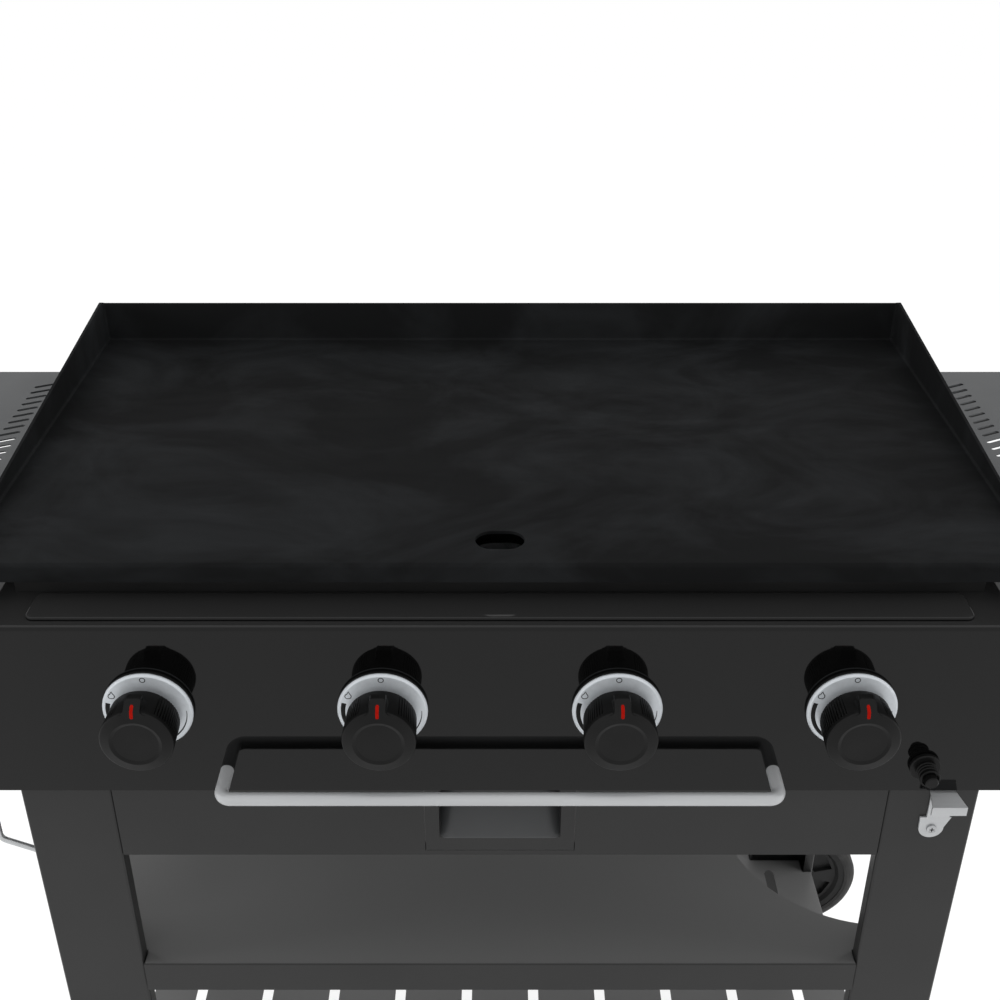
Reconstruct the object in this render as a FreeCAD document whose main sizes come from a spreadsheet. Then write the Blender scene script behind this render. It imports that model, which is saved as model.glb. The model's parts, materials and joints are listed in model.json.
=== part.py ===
import FreeCAD, Part
import math
import os
import Sketcher

# Outdoor gas griddle station: a flat steel griddle over a firebox with burners, a control panel
# with knobs, a cart on two legs and two wheels, and a fixed shelf on each side.
# Millimetres. X runs to the right of someone standing at the knobs, Y away from them, Z up.
# The origin is on the ground, midway across the cart and midway between its front and back.

V = FreeCAD.Vector

SIZES = (
    ("floor_height", 914, "cooking surface above the ground"),
    ("griddle_width", 940, "over the griddle's side walls"),
    ("griddle_depth", 502, "front edge of the cooking surface to the back of the rear wall"),
    ("plate_steel", 3, "griddle plate thickness"),
    ("wall_height", 49, "rear wall above the cooking surface"),
    ("wall_front", 3, "side walls above the cooking surface at the front"),
    ("wall_corner", 8, "rounding of the rear corners of the walls"),
    ("corner_bend", 3, "inside bend between the cooking surface and its walls"),
    ("lip_drop", 18, "front lip's edge below the cooking surface"),
    ("lip_bend", 3.5, "outside bend of the front lip"),
    ("drain_length", 44, "grease drain along X"),
    ("drain_width", 31, "grease drain along Y"),
    ("drain_setback", 38, "grease drain's centre behind the front edge"),
    ("foot_gap", 6, "griddle's underside above the firebox flange"),
    ("sheet", 1.5, "sheet steel of the cart, panel and firebox"),
    ("seat_gap", 0.3, "clearance between seated sheet parts"),
    ("firebox_inset", 41, "firebox side inside the griddle's side"),
    ("firebox_height", 157, "firebox outside, along Z"),
    ("firebox_setback", 16, "firebox front wall behind the front edge"),
    ("firebox_rear", 22, "firebox rear wall ahead of the griddle's back"),
    ("firebox_flange", 20, "inward flange that the griddle's feet stand on"),
    ("burner_pitch", 206, "between neighbouring burners"),
    ("burner_radius", 18, "burner tube outside"),
    ("burner_neck", 12, "burner venturi outside"),
    ("burner_end_gap", 18, "burner's end off the back of the firebox"),
    ("port_pitch", 24, "between burner ports"),
    ("port_radius", 1.5, "burner port"),
    ("knob_drop", 125, "knob axis below the cooking surface"),
    ("manifold_drop", 28, "manifold axis below the knob axis"),
    ("manifold_radius", 9, "manifold tube outside"),
    ("manifold_setback", 21, "manifold axis behind the panel's face"),
    ("stem_radius", 4, "valve stem"),
    ("stem_flat", 2.8, "flat of the stem's D section from its axis"),
    ("running_fit", 0.05, "radial clearance of shafts in their bores"),
    ("panel_advance", 40, "panel's face ahead of the front edge"),
    ("panel_drop", 40, "panel's top below the cooking surface"),
    ("panel_height", 181, "height of the panel's face"),
    ("panel_ear", 28, "how far the panel's top laps back beside the firebox"),
    ("panel_bend", 4, "bend between the panel's face and its top"),
    ("raised_inset", 62, "raised field on the panel's top inside the panel's ends"),
    ("raised_height", 3, "raised field's height"),
    ("bezel_radius", 40, "bezel outside"),
    ("bezel_bore", 22, "bezel ring's bore"),
    ("bezel_base", 3, "black base under the bezel ring"),
    ("bezel_ring", 3.5, "bezel ring thickness"),
    ("knob_reach", 50, "knob's face ahead of the panel's face"),
    ("knob_back", 16, "knob's back edge ahead of the panel's face"),
    ("knob_radius", 31.8, "knob at its rim"),
    ("knob_dish", 22.5, "dish in the knob's face"),
    ("knob_slope", 2.5, "knob's rim behind its face"),
    ("knob_flutes", 72, "grip flutes in a full turn"),
    ("flute_depth", 1.5, "grip flute's depth"),
    ("smooth_sector", 32, "degrees beside the pointer that have no flutes"),
    ("pointer_width", 14, "pointer on a knob"),
    ("pointer_radius", 39, "pointer's top from the knob's axis"),
    ("pointer_ramp", 12.5, "pointer's top behind the knob's face"),
    ("pointer_top", 6, "flat top of the pointer, along Y"),
    ("knob_push", 3, "travel of a knob when it is pushed in"),
    ("bar_radius", 6, "towel bar tube"),
    ("bar_reach", 247.5, "towel bar's feet from the middle"),
    ("bar_stand", 38, "towel bar's axis ahead of the panel's face"),
    ("bar_bend", 10, "bend of the towel bar's axis"),
    ("bar_drop", 197, "towel bar's axis below the cooking surface"),
    ("igniter_inset", 86, "igniter's axis inside the panel's end"),
    ("igniter_drop", 190.5, "igniter's axis below the cooking surface"),
    ("igniter_body", 20, "igniter's rim ahead of the panel's face"),
    ("igniter_travel", 4, "travel of the igniter's button"),
    ("leg_advance", 35, "front legs' face ahead of the front edge"),
    ("leg_inset", 27.5, "legs' outer edge inside the griddle's side"),
    ("leg_width", 83.9, "width of a leg's face"),
    ("leg_depth", 36, "outer flange of a leg, along Y"),
    ("leg_flange", 14, "inner flange of a leg, along Y"),
    ("leg_lip", 13, "lip on a leg's outer flange"),
    ("leg_top", 705, "top of the legs above the ground"),
    ("cart_depth", 471, "front legs' face to rear legs' face"),
    ("wheel_side_leg", 60, "bottom of the legs over the wheels"),
    ("foot_height", 12, "plastic foot under a leg"),
    ("wheel_radius", 89, "tyre outside"),
    ("wheel_width", 34, "tyre width"),
    ("wheel_inset", 12.5, "axle inside the legs' outer edge"),
    ("rim_radius", 74, "tyre seat"),
    ("axle_radius", 5, "wheel axle"),
    ("wheel_gap", 3, "wheel's side off the leg"),
    ("nut_height", 8, "cap nut on the axle"),
    ("apron_bottom", 608, "apron's lower edge above the ground"),
    ("shelf_height", 462, "middle shelf's top above the ground"),
    ("shelf_drop", 38, "middle shelf's edge flange"),
    ("shelf_advance", 3, "middle shelf's front flange ahead of the legs' face"),
    ("tank_radius", 148, "recess for a gas tank"),
    ("tank_inset", 41.5, "tank recess's axis inside the legs' outer edge"),
    ("tank_shift", 46, "tank recess's axis ahead of the origin"),
    ("rack_height", 147, "bottom shelf's top above the ground"),
    ("rack_drop", 48, "bottom shelf's edge flange"),
    ("slot_pitch", 84.4, "between the bottom shelf's slots"),
    ("slot_width", 13, "bottom shelf's slots"),
    ("side_height", 889, "side shelves' top above the ground"),
    ("side_width", 300, "side shelf along X"),
    ("side_depth", 515, "side shelf along Y"),
    ("side_drop", 38, "side shelf's edge flange"),
    ("side_gap", 4, "side shelf off the griddle"),
    ("side_corner", 20, "side shelf's corner radius"),
    ("vent_pitch", 15.4, "between the side shelf's vent slots"),
    ("vent_width", 5, "vent slot width"),
    ("vent_length", 18, "vent slot between its round ends' centres"),
    ("vent_reach", 50, "vent slots' middle from the side shelf's inner edge"),
    ("tray_width", 140, "grease tray's front plate"),
    ("tray_depth", 304, "grease tray along Y"),
    ("tray_pull", 114, "finger recess of the tray, along X"),
    ("pull_height", 60, "finger recess of the tray, along Z"),
    ("pull_slope", 39, "rise of the finger recess's back"),
    ("opener_inset", 34.5, "bottle opener's middle inside the leg's outer edge"),
    ("opener_depth", 24, "bottle opener's plate ahead of the leg"),
    ("opener_steel", 2, "bottle opener's sheet"),
    ("wire_radius", 3, "side rail wire"),
    ("wire_stand", 41, "side rail off the legs"),
    ("wire_bottom", 591, "side rail's ends above the ground"),
    ("wire_rise", 70, "side rail's bar above its ends"),
)


class Size:
    """A length with its value and the sheet formula that gives it."""

    def __init__(self, value, formula):
        self.value = float(value)
        self.formula = formula

    def __add__(self, other):
        other = as_size(other)
        return Size(self.value + other.value, f"({self.formula} + {other.formula})")

    def __sub__(self, other):
        other = as_size(other)
        return Size(self.value - other.value, f"({self.formula} - {other.formula})")

    def __mul__(self, other):
        other = as_size(other)
        return Size(self.value * other.value, f"({self.formula} * {other.formula})")

    def __truediv__(self, other):
        other = as_size(other)
        return Size(self.value / other.value, f"({self.formula} / {other.formula})")

    def __neg__(self):
        return self * -1

    def __radd__(self, other):
        return as_size(other) + self

    def __rsub__(self, other):
        return as_size(other) - self

    def __rmul__(self, other):
        return as_size(other) * self

    def __float__(self):
        return self.value


def as_size(number):
    if isinstance(number, Size):
        return number
    return Size(number, f"({float(number)})")


doc = FreeCAD.newDocument("griddle_station")
sheet = doc.addObject("Spreadsheet::Sheet", "sizes")
for row, (alias, value, note) in enumerate(SIZES, start=1):
    sheet.set(f"A{row}", alias)
    sheet.set(f"B{row}", str(value))
    sheet.setAlias(f"B{row}", alias)
    sheet.set(f"C{row}", note)
doc.recompute()


class Sheet:
    """The driving sizes, each under its own name."""


d = Sheet()
for alias, value, note in SIZES:
    setattr(d, alias, Size(sheet.get(alias), f"sizes.{alias}"))

PARTS = []


def keep(obj, label):
    """Marks a finished sub-part, under the name that its file gets."""
    obj.Label = label
    PARTS.append(obj)
    return obj


def bind(obj, prop, size):
    obj.setExpression(prop, as_size(size).formula)


def place(obj, x=0, y=0, z=0):
    for axis, size in zip("xyz", (x, y, z)):
        bind(obj, f"Placement.Base.{axis}", size)


def box(name, x, y, z):
    """A box from the lower and upper limits along each axis."""
    solid = doc.addObject("Part::Box", name)
    for prop, (low, high) in zip(("Length", "Width", "Height"), (x, y, z)):
        bind(solid, prop, as_size(high) - low)
    place(solid, x[0], y[0], z[0])
    return solid


TURNS = {
    "x": FreeCAD.Rotation(V(0, 1, 0), 90),
    "y": FreeCAD.Rotation(V(1, 0, 0), -90),
    "z": FreeCAD.Rotation(),
}


def rod(name, axis, radius, low, high, a, b):
    """A cylinder along an axis from low to high. a and b are its centre on the other two axes."""
    solid = doc.addObject("Part::Cylinder", name)
    solid.Placement = FreeCAD.Placement(V(), TURNS[axis])
    bind(solid, "Radius", radius)
    bind(solid, "Height", as_size(high) - low)
    spot = {"x": (low, a, b), "y": (a, low, b), "z": (a, b, low)}[axis]
    place(solid, *spot)
    return solid


def cut(name, base, *tools):
    whole = doc.addObject("Part::Cut", name)
    whole.Base = base
    whole.Tool = tools[0] if len(tools) == 1 else fuse(name + "_tools", *tools)
    return whole


def fuse(name, *pieces):
    whole = doc.addObject("Part::MultiFuse", name)
    whole.Shapes = list(pieces)
    return whole


def group(name, *pieces):
    """Separate solids that share one sub-part."""
    whole = doc.addObject("Part::Compound", name)
    whole.Links = list(pieces)
    return whole


def common(name, first, second):
    whole = doc.addObject("Part::Common", name)
    whole.Base = first
    whole.Tool = second
    return whole


def new_body(name):
    return doc.addObject("PartDesign::Body", name)


def new_sketch(body, name, plane, offset):
    """A sketch on one of the body's origin planes, moved along the plane's normal."""
    sketch = body.newObject("Sketcher::SketchObject", name)
    role = plane + "_Plane"
    sketch.AttachmentSupport = [(f, "") for f in body.Origin.OriginFeatures if f.Role == role]
    sketch.MapMode = "FlatFace"
    bind(sketch, "AttachmentOffset.Base.z", offset)
    return sketch


def pin_point(sketch, geometry, point, x, y):
    """Holds a point of the sketch at x, y, both bound to the sheet."""
    for kind, size in (("DistanceX", x), ("DistanceY", y)):
        size = as_size(size)
        index = sketch.addConstraint(Sketcher.Constraint(kind, -1, 1, geometry, point, size.value))
        bind(sketch, f"Constraints[{index}]", size)


def draw_outline(sketch, points):
    """A closed outline of straight lines."""
    first = sketch.GeometryCount
    count = len(points)
    corners = [V(float(as_size(x)), float(as_size(y)), 0) for x, y in points]
    for i in range(count):
        sketch.addGeometry(Part.LineSegment(corners[i], corners[(i + 1) % count]), False)
    for i in range(count):
        follow = first + (i + 1) % count
        sketch.addConstraint(Sketcher.Constraint("Coincident", first + i, 2, follow, 1))
    for i, (x, y) in enumerate(points):
        pin_point(sketch, first + i, 1, x, y)


def draw_circle(sketch, x, y, radius):
    x, y, radius = as_size(x), as_size(y), as_size(radius)
    circle = Part.Circle(V(x.value, y.value, 0), V(0, 0, 1), radius.value)
    index = sketch.addGeometry(circle, False)
    size = sketch.addConstraint(Sketcher.Constraint("Radius", index, radius.value))
    bind(sketch, f"Constraints[{size}]", radius)
    pin_point(sketch, index, 3, x, y)


def draw_slot(sketch, x, y, length, width, degrees=0):
    """A slot with round ends: length between the ends' centres, turned about its middle."""
    x, y, radius = as_size(x), as_size(y), as_size(width) / 2
    turn = math.radians(degrees)
    reach_x = as_size(length) * (math.cos(turn) / 2)
    reach_y = as_size(length) * (math.sin(turn) / 2)
    ends = ((x + reach_x, y + reach_y, turn - math.pi / 2), (x - reach_x, y - reach_y, turn + math.pi / 2))
    arcs = []
    for end_x, end_y, start in ends:
        circle = Part.Circle(V(end_x.value, end_y.value, 0), V(0, 0, 1), radius.value)
        arcs.append(sketch.addGeometry(Part.ArcOfCircle(circle, start, start + math.pi), False))
    tips = [(sketch.getPoint(arc, 1), sketch.getPoint(arc, 2)) for arc in arcs]
    lines = [
        sketch.addGeometry(Part.LineSegment(tips[0][1], tips[1][0]), False),
        sketch.addGeometry(Part.LineSegment(tips[1][1], tips[0][0]), False),
    ]
    ring = [arcs[0], lines[0], arcs[1], lines[1]]
    for i in range(4):
        sketch.addConstraint(Sketcher.Constraint("Tangent", ring[i], 2, ring[(i + 1) % 4], 1))
    sketch.addConstraint(Sketcher.Constraint("Equal", *arcs))
    size = sketch.addConstraint(Sketcher.Constraint("Radius", arcs[0], radius.value))
    bind(sketch, f"Constraints[{size}]", radius)
    for arc, (end_x, end_y, start) in zip(arcs, ends):
        pin_point(sketch, arc, 3, end_x, end_y)


def pad(body, name, plane, low, high, draw):
    """Adds what draw(sketch) outlines, from low to high along the plane's own axis."""
    start = -as_size(high) if plane == "XZ" else low
    sketch = new_sketch(body, name + "_sketch", plane, start)
    draw(sketch)
    feature = body.newObject("PartDesign::Pad", name)
    feature.Profile = sketch
    bind(feature, "Length", as_size(high) - low)
    doc.recompute()
    return feature


def pocket(body, name, plane, low, high, draw):
    """Removes what draw(sketch) outlines, from low to high along the plane's own axis."""
    start = -as_size(low) if plane == "XZ" else high
    sketch = new_sketch(body, name + "_sketch", plane, start)
    draw(sketch)
    feature = body.newObject("PartDesign::Pocket", name)
    feature.Profile = sketch
    bind(feature, "Length", as_size(high) - low)
    doc.recompute()
    return feature


def outline(points):
    return lambda sketch: draw_outline(sketch, points)


def rectangle(x, y):
    return outline([(x[0], y[0]), (x[1], y[0]), (x[1], y[1]), (x[0], y[1])])


def prism(name, plane, points, low, high):
    body = new_body(name)
    pad(body, name + "_pad", plane, low, high, outline(points))
    return body


def lathe(name, axis, points, x=0, y=0, z=0):
    """A body turned about an axis through x, y, z. The points are (along the axis, radius)."""
    body = new_body(name)
    if axis == "y":
        plane, side, drawn = "YZ", "H_Axis", points
    elif axis == "x":
        plane, side, drawn = "XZ", "H_Axis", points
    else:
        plane, side, drawn = "XZ", "V_Axis", [(radius, along) for along, radius in points]
    sketch = new_sketch(body, name + "_sketch", plane, 0)
    draw_outline(sketch, drawn)
    feature = body.newObject("PartDesign::Revolution", name + "_turned")
    feature.Profile = sketch
    feature.ReferenceAxis = (sketch, [side])
    feature.Angle = 360
    place(body, x, y, z)
    doc.recompute()
    return body


def near(found, wanted):
    return wanted is None or abs(found - float(as_size(wanted))) < 0.01


def straight_edges(body, along, x=None, y=None, z=None):
    """Names of the tip's straight edges along an axis ("x", "y" or "z") at the given places."""
    axis = {"x": V(1, 0, 0), "y": V(0, 1, 0), "z": V(0, 0, 1)}[along]
    names = []
    for index, edge in enumerate(body.Tip.Shape.Edges, start=1):
        if not isinstance(edge.Curve, Part.Line):
            continue
        middle = edge.CenterOfMass
        if abs(edge.tangentAt(edge.FirstParameter).dot(axis)) < 0.999:
            continue
        if near(middle.x, x) and near(middle.y, y) and near(middle.z, z):
            names.append(f"Edge{index}")
    return names


def round_edges(body, y, radius):
    """Names of the tip's circles of a radius about the Y axis, at a place along it."""
    names = []
    for index, edge in enumerate(body.Tip.Shape.Edges, start=1):
        if not isinstance(edge.Curve, Part.Circle):
            continue
        if near(edge.Curve.Center.y, y) and near(edge.Curve.Radius, radius):
            names.append(f"Edge{index}")
    return names


def upright_edges(body):
    """Names of the tip's edges that stand along Z."""
    return [f"Edge{i}" for i, edge in enumerate(body.Tip.Shape.Edges, start=1) if edge.BoundBox.ZLength > 5]


def level_edges(body, z):
    """Names of the tip's edges that lie wholly at one height."""
    return [
        f"Edge{i}"
        for i, edge in enumerate(body.Tip.Shape.Edges, start=1)
        if near(edge.BoundBox.ZMin, z) and near(edge.BoundBox.ZMax, z)
    ]


def fillet(body, name, radius, edges):
    base = body.Tip
    feature = body.newObject("PartDesign::Fillet", name)
    feature.Base = (base, edges)
    bind(feature, "Radius", radius)
    doc.recompute()
    return feature


def repeat(body, name, feature, axis, pitch, count):
    """Repeats a feature along one of the body's axes."""
    pattern = body.newObject("PartDesign::LinearPattern", name)
    pattern.Originals = [feature]
    line = [f for f in body.Origin.OriginFeatures if f.Role == axis + "_Axis"]
    pattern.Direction = (line[0], [""])
    pattern.Mode = "Spacing"
    bind(pattern, "Offset", pitch)
    pattern.Occurrences = count
    body.Tip = pattern
    doc.recompute()
    return pattern


def instance(name, master, x=0, y=0, z=0, label=None):
    """One more of a shape that is defined once, set in its own place."""
    copy = group(name, master)
    place(copy, x, y, z)
    if label:
        keep(copy, label)
    return copy


def inset(points, steel):
    """A rectilinear anticlockwise outline moved inwards by the steel's thickness."""
    count = len(points)
    moved = []
    for i, (x, y) in enumerate(points):
        sides = []
        for a, b in ((i - 1, i), (i, (i + 1) % count)):
            run = float(as_size(points[b][0])) - float(as_size(points[a][0]))
            rise = float(as_size(points[b][1])) - float(as_size(points[a][1]))
            sides.append((-math.copysign(1, rise), 0) if abs(rise) > abs(run) else (0, math.copysign(1, run)))
        shift_x = sides[0][0] + sides[1][0]
        shift_y = sides[0][1] + sides[1][1]
        moved.append((as_size(x) + steel * shift_x, as_size(y) + steel * shift_y))
    return moved


# Places that several sub-parts share.
edge_y = (d.panel_advance + d.knob_reach - d.griddle_depth) / 2
back_y = edge_y + d.griddle_depth
half_griddle = d.griddle_width / 2
floor_z = d.floor_height
under_z = floor_z - d.plate_steel
fire_top = under_z - d.foot_gap
fire_bottom = fire_top - d.firebox_height
fire_front = edge_y + d.firebox_setback
fire_back = back_y - d.firebox_rear
half_fire = half_griddle - d.firebox_inset
panel_y = edge_y - d.panel_advance
panel_top = floor_z - d.panel_drop
panel_bottom = panel_top - d.panel_height
half_panel = half_griddle
igniter_x = half_panel - d.igniter_inset
knob_z = floor_z - d.knob_drop
leg_y = edge_y - d.leg_advance
leg_outer = half_griddle - d.leg_inset
leg_inner = leg_outer - d.leg_width
wheel_x = leg_outer - d.wheel_inset
tank_x = leg_outer - d.tank_inset
opener_x = leg_outer - d.opener_inset
rear_y = leg_y + d.cart_depth
drain_y = edge_y + d.drain_setback
burner_x = [d.burner_pitch * (index - 1.5) for index in range(4)]


def make_griddle():
    """A folded steel plate: floor, tall back wall, side walls that fall to the front, front lip."""
    lip_y = edge_y - d.plate_steel
    wall_y = edge_y + d.lip_bend
    body = new_body("griddle_block")
    side = [
        (lip_y, floor_z - d.lip_drop),
        (edge_y, floor_z - d.lip_drop),
        (edge_y, under_z),
        (back_y, under_z),
        (back_y, floor_z + d.wall_height),
        (wall_y, floor_z + d.wall_front),
        (wall_y, floor_z),
        (lip_y, floor_z),
    ]
    pad(body, "griddle_pad", "YZ", -half_griddle, half_griddle, outline(side))
    top_edge = straight_edges(body, "x", y=back_y, z=floor_z + d.wall_height)
    fillet(body, "wall_corners", d.wall_corner, top_edge)
    fillet(body, "lip_bend_round", d.lip_bend, straight_edges(body, "x", y=lip_y, z=floor_z))
    below = (
        straight_edges(body, "y", x=half_griddle, z=under_z)
        + straight_edges(body, "y", x=-half_griddle, z=under_z)
        + straight_edges(body, "x", y=back_y, z=under_z)
    )
    fillet(body, "outside_bends", d.plate_steel * 0.8, below)
    inner_x = half_griddle - d.plate_steel
    inner_y = back_y - d.plate_steel
    hollow = new_body("griddle_hollow")
    above = floor_z + d.wall_height * 2
    pad(hollow, "hollow_pad", "XY", floor_z, above, rectangle((-inner_x, inner_x), (lip_y - 5, inner_y)))
    inside = (
        straight_edges(hollow, "y", x=inner_x, z=floor_z)
        + straight_edges(hollow, "y", x=-inner_x, z=floor_z)
        + straight_edges(hollow, "x", y=inner_y, z=floor_z)
        + straight_edges(hollow, "z", x=inner_x, y=inner_y)
        + straight_edges(hollow, "z", x=-inner_x, y=inner_y)
    )
    fillet(hollow, "inside_bends", d.corner_bend, inside)
    drain = new_body("griddle_drain")
    straight = d.drain_length - d.drain_width
    pad(
        drain, "drain_pad", "XY", under_z - 1, floor_z + 1,
        lambda sketch: draw_slot(sketch, 0, drain_y, straight, d.drain_width),
    )
    keep(cut("griddle_cut", body, hollow, drain), "griddle_plate")


foot_radius = 9
foot_pin = 4
foot_inset = d.firebox_flange * 0.55
foot_spots = [
    (sign * (half_fire - foot_inset), y)
    for sign in (-1, 1)
    for y in (fire_front + foot_inset, fire_back - foot_inset)
]


def make_griddle_feet():
    """Four discs under the plate, each with a pin through a hole in the firebox flange."""
    profile = [
        (fire_top - 12, 0),
        (fire_top - 12, foot_pin),
        (fire_top, foot_pin),
        (fire_top, foot_radius),
        (under_z, foot_radius),
        (under_z, 0),
    ]
    disc = lathe("foot_disc", "z", profile)
    feet = [instance(f"griddle_foot_{index}", disc, x, y) for index, (x, y) in enumerate(foot_spots)]
    keep(group("griddle_feet_group", *feet), "griddle_feet")


electrode_shift = 28
electrode_lift = 8
electrode_radius = 4
chute_wall = 1.2
chute_length = d.drain_length + 4 + chute_wall * 2
chute_width = d.drain_width + 4 + chute_wall * 2


def make_firebox():
    """An open-topped steel box that holds the burners, with a flange that carries the griddle."""
    outer = box("fire_outer", (-half_fire, half_fire), (fire_front, fire_back), (fire_bottom, fire_top))
    inside_x = half_fire - d.sheet
    inner = box(
        "fire_inner",
        (-inside_x, inside_x),
        (fire_front + d.sheet, fire_back - d.sheet),
        (fire_bottom + d.sheet, fire_top - d.sheet),
    )
    mouth_x = half_fire - d.firebox_flange
    mouth = box(
        "fire_mouth",
        (-mouth_x, mouth_x),
        (fire_front + d.firebox_flange, fire_back - d.firebox_flange),
        (fire_top - d.sheet * 2, fire_top + 1),
    )
    tools = [inner, mouth]
    for index, x in enumerate(burner_x):
        neck = d.burner_neck + 0.5
        tools.append(rod(f"neck_hole_{index}", "y", neck, fire_front - 1, fire_front + 4, x, knob_z))
        side = x + electrode_shift
        lift = knob_z + electrode_lift
        hole = electrode_radius + d.seat_gap
        tools.append(rod(f"spark_hole_{index}", "y", hole, fire_front - 1, fire_front + 4, side, lift))
        vent_x = (x - 60, x + 60)
        vent_z = (fire_top - 70, fire_top - 50)
        tools.append(box(f"rear_vent_{index}", vent_x, (fire_back - 4, fire_back + 1), vent_z))
    for index, (x, y) in enumerate(foot_spots):
        tools.append(rod(f"pin_hole_{index}", "z", foot_pin + 1, fire_top - 4, fire_top + 1, x, y))
    half_slot = chute_length / 2 + d.seat_gap
    notch_y = (fire_front + d.sheet, drain_y + chute_width / 2 + d.seat_gap)
    tools.append(box("flange_notch", (-half_slot, half_slot), notch_y, (fire_top - 4, fire_top + 1)))
    hole_y = (drain_y - chute_width / 2 - d.seat_gap, drain_y + chute_width / 2 + d.seat_gap)
    tools.append(box("chute_hole", (-half_slot, half_slot), hole_y, (fire_bottom - 1, fire_bottom + 4)))
    keep(cut("firebox_cut", outer, *tools), "firebox")


burner_rest = 1.3


def make_burners():
    """Tube burners: venturi neck over the valve's jet, ported tube, closed end with a tab."""
    wall = d.sheet
    neck, tube = d.burner_neck, d.burner_radius
    length = fire_back - fire_front - d.burner_end_gap
    profile = [
        (-13, neck - wall),
        (-13, neck),
        (10, neck),
        (26, tube),
        (length - 8, tube),
        (length, tube - 8),
        (length, 0),
        (length - wall, 0),
        (length - wall, tube - 8 - wall),
        (length - 8, tube - wall),
        (26, tube - wall),
        (10, neck - wall),
    ]
    body = lathe("burner_body", "y", profile)
    ports = int((float(length) - 90) // float(d.port_pitch))

    def draw_ports(sketch):
        for side in (-1, 1):
            draw_circle(sketch, tube * 0.62 * side, 48, d.port_radius)

    pair = pocket(body, "burner_ports", "XY", 0, tube + 2, draw_ports)
    repeat(body, "burner_port_rows", pair, "Y", d.port_pitch, ports)
    pad(body, "burner_tab", "XY", -1, 1, rectangle((-9, 9), (length - wall, length + 12)))
    for index, x in enumerate(burner_x):
        instance(f"burner_at_{index}", body, x, fire_front, knob_z, f"burner_{index + 1}")


def make_burner_support():
    """An angle across the back of the firebox that the burners' tabs lie on."""
    top = knob_z - burner_rest
    reach = half_fire - d.sheet - 2
    wall_y = fire_back - d.sheet - d.seat_gap
    section = [
        (wall_y - 13, top - d.sheet),
        (wall_y - d.sheet, top - d.sheet),
        (wall_y - d.sheet, top - 30),
        (wall_y, top - 30),
        (wall_y, top),
        (wall_y - 13, top),
    ]
    keep(prism("support_angle", "YZ", section, -reach, reach), "burner_support_bar")


def make_carryovers():
    """Three inverted channels that carry the flame from each burner to the next."""
    low = knob_z + d.burner_radius + d.seat_gap
    y = fire_back - 80
    outer = box("carry_outer", (4, d.burner_pitch - 4), (y, y + 20), (low, low + 8))
    inner = box("carry_inner", (3, d.burner_pitch - 3), (y + 1.5, y + 18.5), (low - 1, low + 6.5))
    channel = cut("carry_channel", outer, inner)
    pieces = [instance(f"carry_{index}", channel, burner_x[index]) for index in range(3)]
    keep(group("carry_group", *pieces), "carryover_channels")


manifold_y = panel_y + d.manifold_setback
manifold_z = knob_z - d.manifold_drop
manifold_end = leg_outer + 3
boss_top = manifold_z + d.manifold_radius + 1.5


def make_manifold():
    """The gas rail behind the panel, with a boss for each valve."""
    left = burner_x[0] - 36
    outside, inside = d.manifold_radius, d.manifold_radius - d.sheet
    tube = rod("rail_tube", "x", outside, left, manifold_end, manifold_y, manifold_z)
    bore = rod("rail_bore", "x", inside, left + d.sheet, manifold_end + 1, manifold_y, manifold_z)
    bosses = [
        rod(f"rail_boss_{index}", "z", 7, manifold_z, boss_top, x, manifold_y)
        for index, x in enumerate(burner_x)
    ]
    keep(cut("rail_cut", fuse("rail_solid", tube, *bosses), bore), "manifold")


inlet_radius = 7.9
inlet_x = manifold_end + 10


def make_gas_inlet():
    """An elbow on the rail's end with a flare thread pointing down for the gas hose."""
    block = box(
        "inlet_block",
        (manifold_end, manifold_end + 19),
        (manifold_y - 9.5, manifold_y + 9.5),
        (manifold_z - 10, manifold_z + 10),
    )
    collar = rod("inlet_collar", "z", 9.4, manifold_z - 20, manifold_z - 10, inlet_x, manifold_y)
    thread = rod("inlet_thread", "z", inlet_radius, manifold_z - 34, manifold_z - 20, inlet_x, manifold_y)
    seat = doc.addObject("Part::Cone", "inlet_seat")
    seat.Radius1 = 4
    seat.Radius2 = inlet_radius - 0.8
    seat.Height = 5
    place(seat, inlet_x, manifold_y, manifold_z - 39)
    bore = rod("inlet_bore", "z", 3, manifold_z - 40, manifold_z, inlet_x, manifold_y)
    keep(cut("inlet_cut", fuse("inlet_solid", block, collar, thread, seat), bore), "gas_inlet_fitting")


valve_front = panel_y + 5
bushing_front = panel_y - 2
stem_back = panel_y + 24
valve_half = 11


def make_valves():
    """Gas valves: a block on the manifold, a bushing for the stem, a jet into the burner's neck."""
    block = box(
        "valve_block",
        (-valve_half, valve_half),
        (valve_front, valve_front + 30),
        (knob_z - valve_half, knob_z + valve_half),
    )
    bushing = rod("valve_bushing", "y", 6.5, bushing_front, valve_front, 0, knob_z)
    jet = rod("valve_jet", "y", 4.5, valve_front + 30, fire_front - 10, 0, knob_z)
    nipple = rod("valve_nipple", "z", 5, boss_top, knob_z - valve_half, 0, manifold_y)
    fit = d.stem_radius + d.running_fit
    bore = rod("valve_bore", "y", fit, bushing_front - 1, stem_back + 1, 0, knob_z)
    valve = cut("valve_cut", fuse("valve_solid", block, bushing, jet, nipple), bore)
    for index, x in enumerate(burner_x):
        instance(f"valve_at_{index}", valve, x, label=f"valve_{index + 1}")


stem_front = panel_y - d.knob_reach + d.knob_push * 4


def make_stems():
    """Valve shafts, round in the bushing and D-shaped where the knob slides on them."""
    shaft = rod("stem_shaft", "y", d.stem_radius, stem_front, stem_back, 0, knob_z)
    flat_y = (stem_front - 1, panel_y - 8)
    flat = box("stem_flat", (-6, 6), flat_y, (knob_z + d.stem_flat, knob_z + 8))
    stem = cut("stem_cut", shaft, flat)
    for index, x in enumerate(burner_x):
        instance(f"stem_at_{index}", stem, x, label=f"valve_stem_{index + 1}")


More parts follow.
